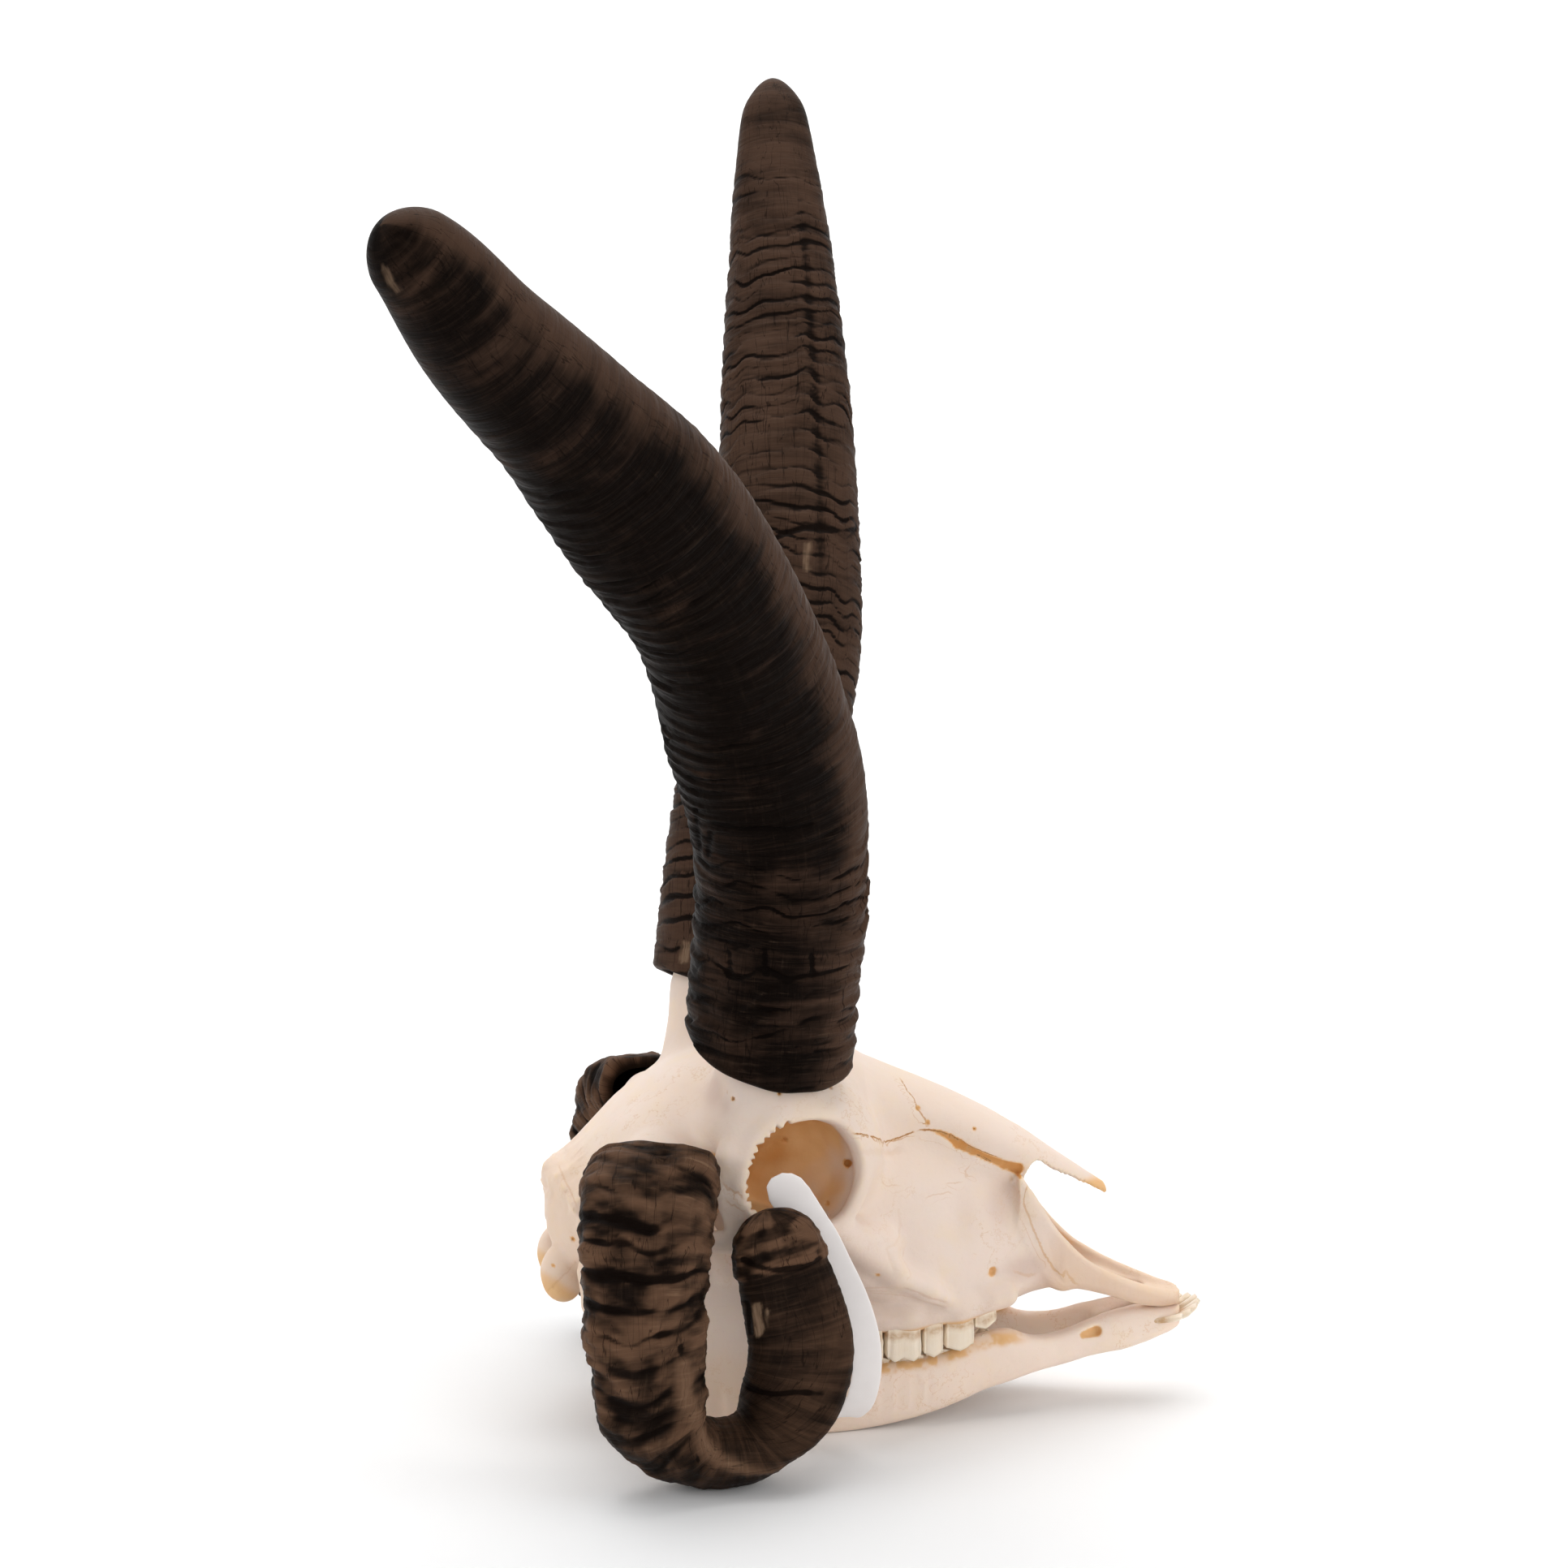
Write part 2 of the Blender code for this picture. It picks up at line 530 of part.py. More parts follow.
def net_surface(values, low, step):
    """Quads through the cells that the surface crosses, each point at the mean of its cell's crossings."""
    shape = np.array(values.shape)
    inside = values < 0
    cells, places, quads = [], [], []
    for axis in range(3):
        here = [slice(None)] * 3
        there = [slice(None)] * 3
        here[axis], there[axis] = slice(0, -1), slice(1, None)
        crossing = np.argwhere(inside[tuple(here)] != inside[tuple(there)])
        ahead = crossing.copy()
        ahead[:, axis] += 1
        v0, v1 = values[tuple(crossing.T)], values[tuple(ahead.T)]
        place = crossing.astype(float)
        place[:, axis] += v0 / (v0 - v1)
        b, c = (axis + 1) % 3, (axis + 2) % 3
        corner = []
        for db, dc in ((0, 0), (-1, 0), (-1, -1), (0, -1)):
            cell = crossing.copy()
            cell[:, b] += db
            cell[:, c] += dc
            corner.append(np.ravel_multi_index(tuple(cell.T), shape))
            cells.append(corner[-1])
            places.append(place)
        quad = np.stack(corner, axis=1)
        quads.append(np.where((v0 < 0)[:, None], quad, quad[:, ::-1]))
    ids, index = np.unique(np.concatenate(cells), return_inverse=True)
    places = np.concatenate(places)
    count = np.bincount(index)
    points = np.stack([np.bincount(index, places[:, k]) / count for k in range(3)], axis=1)
    faces = np.searchsorted(ids, np.concatenate(quads))
    return points * step + np.asarray(low), faces.tolist()


def bone_shape(field, low, high):
    return net_surface(mend_corners(read_field(field, low, high, GRID), GRID), low, GRID)


def thin(obj, share):
    """Keeps this share of the triangles."""
    obj.modifiers.new("thin", "DECIMATE").ratio = share


def socket(obj, cutter):
    """Cuts the seats of the teeth out of a bone."""
    seat = obj.modifiers.new("sockets", "BOOLEAN")
    seat.operation = "DIFFERENCE"
    seat.solver = "EXACT"
    seat.use_self = True
    seat.object = cutter
    cutter.hide_render = True
    cutter.display_type = "WIRE"


# Teeth


def closed_rings(rings, start, end):
    """A closed skin over rings of points, ending in one point at each end."""
    count = len(rings[0])
    points = [start] + [p for ring in rings for p in ring] + [end]
    last = len(points) - 1
    faces = []
    for k in range(count):
        after = (k + 1) % count
        faces.append((0, 1 + after, 1 + k))
        for row in range(len(rings) - 1):
            a, b = 1 + row * count, 1 + (row + 1) * count
            faces.append((a + k, a + after, b + after, b + k))
        faces.append((last, last - count + k, last - count + after))
    return np.array(points, float), faces


def outward(points, faces):
    """The faces turned so that they all point out."""
    total = 0.0
    for face in faces:
        for k in range(1, len(face) - 1):
            total += np.dot(points[face[0]], np.cross(points[face[k]], points[face[k + 1]]))
    return faces if total > 0 else [tuple(reversed(face)) for face in faces]


def tooth_outline(lobes):
    """Shares of the tooth's length and width round it, and how far each corner is from a cusp."""
    if lobes == 1:
        outer = [(-0.5, 0.28, 1.0), (-0.22, 0.5, 0.5), (0.06, 0.5, 0.0), (0.5, 0.28, 1.0)]
        inner = [(0.5, -0.28, 0.6), (0.2, -0.5, 0.2), (-0.2, -0.5, 0.2), (-0.5, -0.28, 0.6)]
    else:
        outer = [(-0.5, 0.3, 1.0), (-0.26, 0.5, 0.0), (0.0, 0.36, 1.0), (0.24, 0.5, 0.0), (0.5, 0.3, 1.0)]
        inner = [(0.5, -0.3, 0.6), (0.24, -0.5, 0.1), (0.0, -0.38, 0.6), (-0.24, -0.5, 0.1), (-0.5, -0.3, 0.6)]
    return outer + inner


def bite_height(x, y):
    return float(table_curves(x, BITE, (1,))[0]) + (BITE_SIDE - y) * BITE_SLOPE


def cheek_tooth(x_middle, size, row, up):
    """One cheek tooth on the left side. up is 1 for a lower tooth, whose crown points up, else -1."""
    length, width, shorter, lobes = size
    side, gum = (float(v) for v in table_curves(x_middle, row, (1, 2)))
    ahead, behind = (float(table_curves(x_middle + d, row, (1,))[0]) for d in (1.0, -1.0))
    along = Vector((2.0, ahead - behind, 0)).normalized()
    across = Vector((-along.y, along.x, 0))
    root = gum - up * ROOT_DEPTH
    crown_ring, root_ring = [], []
    for u, v, fall in tooth_outline(lobes):
        flat = along * (u * length) + across * (v * width)
        x, y = x_middle + flat.x, side + flat.y
        bite = bite_height(x, y) - up * (BITE_GAP / 2 + shorter + fall * CUSP_DEPTH)
        crown_ring.append((x, y, bite))
        root_ring.append((x_middle + flat.x * 0.9, side + flat.y * 0.9, root))
    basin = bite_height(x_middle, side) - up * (BITE_GAP / 2 + shorter + CUSP_DEPTH)
    points, faces = closed_rings([root_ring, crown_ring], (x_middle, side, root), (x_middle, side, basin))
    return points, outward(points, faces)


def tooth_row(sizes, row):
    """The middle of each cheek tooth of a row with its size, from the front backwards."""
    x = row[0][0]
    places = []
    for size in sizes:
        places.append((x - size[0] / 2, size))
        x -= size[0] + TOOTH_SPACE
    return places


def tooth_groove(sizes, row, up):
    """The groove that holds a whole row of cheek teeth, with a step where one tooth meets the next."""
    rings = []
    for x_middle, (length, width, _, _) in tooth_row(sizes, row):
        half = width / 2 + FIT_GAP
        gum = float(table_curves(x_middle, row, (2,))[0])
        root, mouth = gum - up * (ROOT_DEPTH + FIT_GAP), gum + up * GROOVE_RISE
        for x in (x_middle + length / 2, x_middle - length / 2):
            side = float(table_curves(x, row, (1,))[0])
            rings.append([(x, side - half, root), (x, side + half, root), (x, side + half, mouth), (x, side - half, mouth)])
    ends = []
    for ring, beyond in ((rings[0], TOOTH_SPACE), (rings[-1], -TOOTH_SPACE)):
        middle = np.mean(ring, axis=0)
        ends.append(tuple(middle + (beyond, 0, 0)))
    points, faces = closed_rings(rings, *ends)
    return points, outward(points, faces)


def incisor_rod(route, sections, past):
    """A six-sided rod along a front tooth of the left side, its ends reaching this far past the route."""
    root, neck, tip = (Vector(p) for p in route)
    rings = []
    for share, half_width, half_thickness in sections:
        a, b = root.lerp(neck, share), neck.lerp(tip, share)
        centre, ahead = a.lerp(b, share), (b - a).normalized()
        wide = Vector((-ahead.y, ahead.x, 0)).normalized()
        deep = ahead.cross(wide)
        ring = []
        for k in range(6):
            angle = math.tau * k / 6
            w = wide * math.cos(angle) * half_width
            d = deep * math.sin(angle) * half_thickness
            ring.append(tuple(centre + w + d))
        rings.append(ring)
    back, front = (np.mean(rings[k], axis=0) for k in (0, -1))
    start = tuple(back + np.array((root - neck).normalized()) * past)
    end = tuple(front + np.array((tip - neck).normalized()) * past)
    points, faces = closed_rings(rings, start, end)
    return points, outward(points, faces)


def merge(shapes):
    """Separate closed shapes as one list of points and faces."""
    points, faces = [], []
    for shape_points, shape_faces in shapes:
        first = len(points)
        points.extend(map(tuple, shape_points))
        faces.extend(tuple(k + first for k in face) for face in shape_faces)
    return np.array(points), faces


# Horns


class CentreLine:
    """A horn's middle line, read by the distance along it."""

    def __init__(self, knots):
        self.knots = np.asarray(knots, float)
        steps = np.linalg.norm(np.diff(self.knots[:, :3], axis=0), axis=1)
        self.along = np.concatenate([[0], np.cumsum(steps)])
        self.length = float(self.along[-1])

    def read(self, s, first, last):
        return np.array([float(smooth_curve(s, self.along, self.knots[:, k])) for k in range(first, last)])

    def frame(self, s):
        """Middle point, wide direction, deep direction and the two half sizes."""
        before, after = self.read(max(s - 1, 0), 0, 3), self.read(min(s + 1, self.length), 0, 3)
        ahead = (after - before) / np.linalg.norm(after - before)
        wide = self.read(s, 5, 8)
        wide -= ahead * (wide @ ahead)
        wide /= np.linalg.norm(wide)
        return self.read(s, 0, 3), wide, np.cross(ahead, wide), self.read(s, 3, 5)


def sheath(knots, rim, depth, sides, spacing, ripple, cap, corners=(0.0, 0.0, 0.0), wall=RIM_WALL):
    """A hollow horn sheath: the outer skin from the rim to a round tip, and the socket inside.

    ripple is the height of the growth rings, and corners is the size and the two end angles
    of a three-sided swelling of the section.
    """
    line = CentreLine(knots)
    angles = [math.tau * k / sides for k in range(sides)]
    middle, lean_wide, lean_deep = rim
    body_rows = round((line.length - middle - cap) / spacing)
    shares = [row / body_rows for row in range(body_rows + 1)]
    round_shares = [0.4, 0.7, 0.92]
    body_share = (line.length - cap - middle) / (line.length - middle)
    rows = [share * body_share for share in shares] + [body_share + (1 - body_share) * t for t in round_shares]

    def start(angle):
        return middle + lean_wide * math.cos(angle) + lean_deep * math.sin(angle)

    def skin(s, angle, wave):
        centre, wide, deep, half = line.frame(s)
        t = min(max((s - line.length + cap) / cap, 0), 1)
        size, first, last = corners
        phase = first + (last - first) * s / line.length
        scale = math.sqrt(1 - t * t) * (1 + size * math.cos(3 * (angle - phase)))
        half = half * scale + wave
        return centre + wide * (half[0] * math.cos(angle)) + deep * (half[1] * math.sin(angle))

    def hollow(share, angle):
        s = start(angle) + depth * share
        centre, wide, deep, half = line.frame(s)
        half = (half - wall) * math.sqrt(1 - share * share * 0.9)
        return centre + wide * (half[0] * math.cos(angle)) + deep * (half[1] * math.sin(angle))

    outer = []
    for number, share in enumerate(rows):
        wave = ripple * (-1) ** number if 0 < number <= body_rows else 0.0
        outer.append([skin(start(a) + (line.length - start(a)) * share, a, wave) for a in angles])
    inner = [[hollow(share, a) for a in angles] for share in (0.85, 0.5, 0.0)]
    tip = line.read(line.length, 0, 3)
    seat = line.read(middle + depth, 0, 3)
    points, faces = closed_rings(inner + outer, seat, tip)
    points[:, 2] = np.maximum(points[:, 2], 0.0)
    return points, outward(points, faces)


# Strap


def strap_shape():
    """A flat band along the path, its width along the head and its thickness away from the bone."""
    path = np.array(STRAP_PATH, float)
    rings = []
    for k, (x, y, z, half_width) in enumerate(STRAP_PATH):
        ahead = path[min(k + 1, len(path) - 1), :3] - path[max(k - 1, 0), :3]
        ahead /= np.linalg.norm(ahead)
        wide = np.array([1.0, 0.0, 0.0]) - ahead * ahead[0]
        wide /= np.linalg.norm(wide)
        out = np.cross(ahead, wide) * STRAP_THICKNESS / 2
        centre = np.array([x, y, z])
        w = wide * half_width
        rings.append([centre + w + out, centre - w + out, centre - w - out, centre + w - out])
    first = np.mean(rings[0], axis=0)
    last = np.mean(rings[-1], axis=0)
    points, faces = closed_rings(rings, first, last)
    return points, outward(points, faces)


# Pieces


def both_sides(name, shape, finish):
    """A left piece and its mirror image on the right."""
    left = add_object("left_" + name, *shape, finish)
    right = add_object("right_" + name, *mirrored(*shape), finish)
    return left, right


def make_cranium(upper_sockets):
    shape = bone_shape(cranium_field, (-98, -90, 30), (154, 90, 200))
    cranium = add_object("cranium", *shape, BONE)
    thin(cranium, CRANIUM_SHARE)
    both = merge([upper_sockets, mirrored(*upper_sockets)])
    socket(cranium, add_object("upper_socket_cutter", *both, None))


def make_jaws(lower_sockets):
    shape = bone_shape(jaw_field, (-56, -4, -6), (154, 62, 104))
    cutters = both_sides("socket_cutter", lower_sockets, None)
    for jaw, cutter in zip(both_sides("jaw", shape, BONE), cutters):
        thin(jaw, JAW_SHARE)
        socket(jaw, cutter)


def make_teeth():
    """Makes every tooth, and returns the sockets of the upper and of the lower ones on the left."""
    for number, (x, size) in enumerate(tooth_row(UPPER_TEETH, UPPER_ROW), 1):
        both_sides(f"upper_cheek_tooth_{number}", cheek_tooth(x, size, UPPER_ROW, -1), TOOTH)
    for number, (x, size) in enumerate(tooth_row(LOWER_TEETH, LOWER_ROW), 1):
        both_sides(f"lower_cheek_tooth_{number}", cheek_tooth(x, size, LOWER_ROW, 1), TOOTH)
    lower = [tooth_groove(LOWER_TEETH, LOWER_ROW, 1)]
    for number, route in enumerate(INCISORS, 1):
        both_sides(f"incisor_{number}", incisor_rod(route, INCISOR_SECTIONS, INCISOR_PAST), TOOTH)
        lower.append(incisor_rod(route, INCISOR_SOCKET, SOCKET_PAST))
    return tooth_groove(UPPER_TEETH, UPPER_ROW, -1), merge(lower)


def make_horns():
    right = sheath(UPPER_RIGHT_HORN, UPPER_RIGHT_RIM, 60, 14, 15.0, 0.5, 14)
    left = sheath(UPPER_LEFT_HORN, UPPER_LEFT_RIM, 62, 14, 15.0, 0.5, 16)
    add_object("right_upper_horn", *right, UPPER_HORN)
    add_object("left_upper_horn", *left, UPPER_HORN)
    corners = (0.07, math.radians(30), math.radians(-30))
    right = sheath(LOWER_RIGHT_HORN, LOWER_RIM, 30, 12, 8.4, 1.0, 12, corners)
    left_line = LOWER_LEFT_BASE + LOWER_RIGHT_HORN[len(LOWER_LEFT_BASE):]
    left = mirrored(*sheath(left_line, LOWER_RIM, 30, 12, 8.4, 1.0, 12, corners, LEFT_RIM_WALL))
    add_object("right_lower_horn", *right, LOWER_HORN)
    add_object("left_lower_horn", *left, LOWER_HORN)


def stand():
    """Hangs every piece on one empty that brings the middle of the skull's box over the origin."""
    origin = bpy.data.objects.new("four_horned_sheep_skull", None)
    bpy.context.scene.collection.objects.link(origin)
    origin.matrix_world = Matrix.Translation(Vector(STAND) * -MM)
    for obj in bpy.data.objects:
        if obj is not origin:
            obj.parent = origin


def main():
    clear_scene()
    upper_sockets, lower_sockets = make_teeth()
    make_cranium(upper_sockets)
    make_jaws(lower_sockets)
    make_horns()
    add_object("strap", *strap_shape(), STRAP)
    stand()


main()
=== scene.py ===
"""The looks of the four-horned sheep skull: bone, teeth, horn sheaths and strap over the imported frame.

Shapes are given in millimetres of the head's own frame, as in the part's source: X runs towards
the nose, Y towards the animal's left, Z up. STAND and MM turn them into the frame's metres.
"""

import math

import bpy
import numpy as np
from mathutils import Matrix, Vector


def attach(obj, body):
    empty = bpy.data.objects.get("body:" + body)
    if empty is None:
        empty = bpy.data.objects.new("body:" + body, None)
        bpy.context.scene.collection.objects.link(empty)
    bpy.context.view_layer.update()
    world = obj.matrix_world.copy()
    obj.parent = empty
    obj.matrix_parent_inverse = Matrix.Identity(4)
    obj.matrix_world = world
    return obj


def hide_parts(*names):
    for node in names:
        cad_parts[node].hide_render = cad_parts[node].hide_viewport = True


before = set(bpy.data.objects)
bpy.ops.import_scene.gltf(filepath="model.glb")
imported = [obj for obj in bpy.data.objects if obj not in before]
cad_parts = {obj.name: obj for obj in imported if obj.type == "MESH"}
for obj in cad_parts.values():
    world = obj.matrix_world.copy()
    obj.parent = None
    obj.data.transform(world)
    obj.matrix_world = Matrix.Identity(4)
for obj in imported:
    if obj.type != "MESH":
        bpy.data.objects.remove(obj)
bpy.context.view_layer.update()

MM = 0.001
STAND = np.array((4.5, -6.4, 0.0))

# Bone
GRID = 0.8  # spacing of the points where the bone fields are read
CRANIUM_TRIANGLES = 170000
JAW_TRIANGLES = 50000
GRID_LOW = np.array((-98.0, -90.0, 30.0))  # first point of the cranium's grid
NOSE_WALL = 3.6
ORBIT_CENTRE = (0.0, 57.5, 104.0)
ORBIT_RADIUS = (24.8, 22.6)
RIM_THICKNESS = 2.9
ORBIT_OPENING = [radius - RIM_THICKNESS for radius in ORBIT_RADIUS]
# Edge of the eye socket: angles in degrees from the front upwards, and shares of the radius
ORBIT_EDGE = (
    (-180, -164, -153, -142, -100, -54, -30, -7, 9, 30, 53, 75, 99, 120, 141, 161, 173, 180),
    (
        0.91, 0.97, 1, 1.02, 1.02, 1.02, 0.98, 0.95, 0.93, 0.94, 0.98, 0.95, 0.91, 0.88, 0.87, 0.87,
        0.88, 0.91),
)
SOCKET_DEPTH = 30
# Small openings, bored from one point to the other: the cheek's and the jaw's nerve holes
CHEEK_HOLE = ((73.2, 26, 56.6), (79, 29.4, 54.6), 1.3, 1.9)
# Orange painted in the mouth of the cheek's nerve hole: middle, radius, strength
CHEEK_STAIN = ((73.4, 26.2, 56.4), 1.7, 0.6)
JAW_HOLE = ((109.6, 15.4, 27.9), (114.6, 13.6, 28.7), 1.3, 1.8)
JAW_PLATE = 2.6

# Long bodies: x, half width, top, bottom
BRAINCASE = [
    (-86, 15, 92, 66), (-81, 24, 97, 60), (-73, 31, 105, 55), (-60, 35, 119, 53), (-46, 37, 129, 53),
    (-28, 39, 136, 56), (-10, 42, 140, 62), (10, 41, 137, 70), (26, 34, 131, 80)]
FACE = [
    (2, 40, 118, 62), (16, 43.5, 117, 50), (30, 42, 113, 44), (44, 38.5, 108, 41),
    (58, 32.5, 103, 39), (70, 27, 98, 38.5), (80, 22.5, 93, 40), (92, 19, 86, 43.5),
    (106, 17, 79, 45), (120, 15, 71, 44)]
NASALS = [
    (-6, 42, 140, 100), (12, 37, 137.5, 100), (27, 29, 132, 98), (46, 22.5, 124.5, 95),
    (70, 19, 113.5, 90), (88, 15.8, 103, 85), (100, 11.2, 94.8, 79), (110, 7.6, 88, 76),
    (119, 4, 82, 73)]
# Lower jaw: x, distance from the middle plane, half thickness, top, bottom
JAW_BODY = [
    (148, 4.3, 3.8, 35, 28.4), (142, 5.6, 5, 35.4, 25.6), (130, 7.2, 5.2, 36, 21.2),
    (115, 9.4, 4.8, 33, 18.8), (100, 13.2, 4.6, 28.8, 16.2), (90, 16.6, 4.6, 28.8, 15),
    (80, 19.4, 4.4, 32.6, 12.6), (70, 21.4, 5, 31.6, 10), (60, 24, 5.8, 28.6, 6.8),
    (50, 26, 6.4, 26.6, 4), (36, 28.2, 6.6, 26, 1.4), (20, 30.2, 6.4, 26, -0.4),
    (4, 32.6, 5.6, 26.2, -0.8), (-20, 36.4, 4, 29, 1.5)]
# Its upright part: z, front edge, back edge, distance from the middle plane
JAW_RAMUS = [
    (0, 4, -26, 35.5), (8, 7, -36, 36.4), (18, 4, -43, 38), (30, -2, -45, 39.6), (42, -7, -43, 41),
    (54, -13, -42, 42), (66, -18, -45, 43), (74, -22, -48, 43.5)]

# Cheek teeth from the front backwards: length and width of the crown, how much shorter it is, lobes
UPPER_TEETH = [
    (8.3, 6, 5, 1), (11.4, 8.6, 0.4, 1), (7.6, 9.6, 0.2, 1), (13.4, 10.6, 0, 2), (14.8, 10.8, 0, 2),
    (15.6, 10, 0, 2)]
LOWER_TEETH = [
    (6, 4.2, 0, 1), (8.6, 5.6, 0, 1), (9.8, 6.4, 0, 1), (12.2, 7.2, 0, 2), (13.8, 7.4, 0, 2),
    (20, 7, 0, 2)]
# Rows of cheek teeth: x, distance from the middle plane, edge of the gum
UPPER_ROW = [
    (74.6, 25.4, 41), (66, 26.6, 39.6), (51, 29.6, 38.2), (34, 31.6, 36.6), (16, 32.4, 36.6),
    (-2, 31.4, 38.4)]
LOWER_ROW = [
    (73.4, 20.8, 31.4), (62, 23.4, 28.8), (50, 25.8, 26.4), (34, 28.4, 25.6), (16, 30.2, 25.8),
    (0, 33, 27)]
BITE = [(76, 29.5), (66, 27.4), (51, 26.6), (34, 26.8), (16, 27.4), (-2, 29.6)]
BITE_SIDE = 35.0
BITE_SLOPE = 0.36
BITE_GAP = 0.5
TOOTH_SPACE = 0.4
ROOT_DEPTH = 5.2
CUSP_DEPTH = 1.6
# Rings of the bite face: share of the crown's size, depth and wear
BITE_FACE = [
    (0.86, 0, 0.1), (0.74, 0.75, 0.7), (0.6, 0.85, 0.6), (0.5, 0.35, 0.3), (0.36, 1.4, 1), (0.16, 1.7, 1)]

# Incisors from the middle outwards: root, neck and tip of each
INCISORS = [
    ((140, 2.3, 29.6), (150.4, 2.5, 30.6), (155.2, 2.6, 36.4)),
    ((138.6, 5.2, 29.8), (149.2, 6.2, 30.8), (153.6, 6.9, 35.8)),
    ((136.2, 8, 30.2), (146.6, 9.6, 31), (150.8, 10.8, 34.8)),
    ((132.4, 9.8, 30.8), (142.2, 12.4, 31.4), (147, 14, 33.8)),
]
# Share of the way from root to tip, half width, half thickness
INCISOR_SECTIONS = [
    (0, 0.9, 0.9), (0.42, 1.1, 1.1), (0.72, 2, 1.25), (0.93, 2.15, 0.85), (1, 1.7, 0.45)]

# Horn centre lines: x, y, z, half width, half depth, and the direction of the wide axis where it isn't X
UPPER_RIGHT_HORN = [
    (-10.6, -36, 122, 30.5, 26.5), (-9, -39, 146, 30.5, 26.5), (-7.4, -42, 172, 30.2, 26.5),
    (-5.6, -46, 201, 30.3, 26.5), (-7.4, -54, 229, 31.2, 26.5, 1, 0, 0.1),
    (-15.6, -68, 262, 32.2, 27, 1, 0, 0.3), (-33, -96, 307, 29.2, 26, 1, 0, 0.7),
    (-59, -124, 345, 29.8, 24.5, 1, 0, 0.9), (-86.8, -150, 376, 24.6, 22, 1, 0, 0.9),
    (-112.4, -173, 402.4, 20.8, 19.2, 1, 0, 0.9), (-129.6, -190, 424.2, 16.4, 15.2, 1, 0, 0.9),
    (-142, -200, 436, 12, 11, 1, 0, 0.9)]
UPPER_LEFT_HORN = [
    (-17.5, 35, 135, 29.8, 27), (-14.5, 41, 162, 29.8, 27), (-11, 48, 190, 29.8, 26.5),
    (-3.4, 60, 228, 30.2, 26), (7.8, 80, 272, 29.8, 25.5), (11.9, 98, 307, 27.8, 25),
    (13.7, 118, 343, 26.5, 24), (14.5, 138, 380, 24.2, 22), (15.3, 157, 417, 20.6, 19),
    (15.1, 173, 452, 16.3, 15.5), (15.2, 182, 474, 12.8, 11.5), (15, 188, 488, 9, 8.5)]
LOWER_RIGHT_HORN = [
    (-50.6, -50, 104, 22.5, 16), (-53.1, -67, 104, 23, 16.5), (-57, -84, 97, 23, 16.5),
    (-59.2, -96, 78, 21.6, 16), (-58.6, -99.5, 52, 20, 14.5, 1, -0.1, 0),
    (-53.4, -95.5, 25, 19.6, 13.8, 0.8, -0.6, 0), (-38, -90, 13.4, 16.5, 12.2, 0.1, -1, 0.25),
    (-18.5, -87, 15.2, 16.5, 12, 0.4, -0.9, 0.2), (-6.5, -86, 33, 17.6, 12, 0.95, -0.35, 0.1),
    (-4, -85, 50, 18.2, 12, 1, 0, 0.1), (-7.2, -83.5, 67, 16.8, 12, 1, 0, 0.2),
    (-11, -82.5, 82, 15, 11.5, 1, 0, 0.2), (-15, -82, 97, 13.5, 10.5, 1, 0, 0.2)]
LOWER_LEFT_BASE = [
    (-45, -50, 104, 17, 15.5), (-47.5, -67, 104, 18, 16), (-51.5, -84, 97, 19.5, 16),
    (-53.5, -95.5, 79, 20.4, 15.5)]
# Rims: distance along the horn, and how far it leans along the wide and the deep axis
UPPER_RIGHT_RIM = (24, -3.7, 8.5)
UPPER_LEFT_RIM = (12.5, -8, 0)
LOWER_RIM = (12, 0, 3)
RIM_WALL = 3.4
LEFT_RIM_WALL = 5.6
# Section of a horn: how strongly it is three-cornered, and the turn of its corners at base and tip
ROUND = (0, 0, 0)
THREE_CORNERED = (0.07, math.radians(30), math.radians(-30))

UPPER_RIGHT_CORE = [(-9, -36, 118, 23), (-8.5, -39, 150, 18), (-7, -43, 178, 11)]
UPPER_LEFT_CORE = [(-19.5, 34, 118, 24), (-17.8, 38, 150, 19.2), (-13.5, 46, 180, 11)]
LOWER_RIGHT_CORE = [(-47, -28, 104, 15), (-50, -50, 104, 11.5), (-53, -68, 102, 8)]
LOWER_LEFT_CORE = [(-43, 28, 104, 15), (-45, 50, 104.5, 10.2), (-47, 66, 103.6, 7.4)]

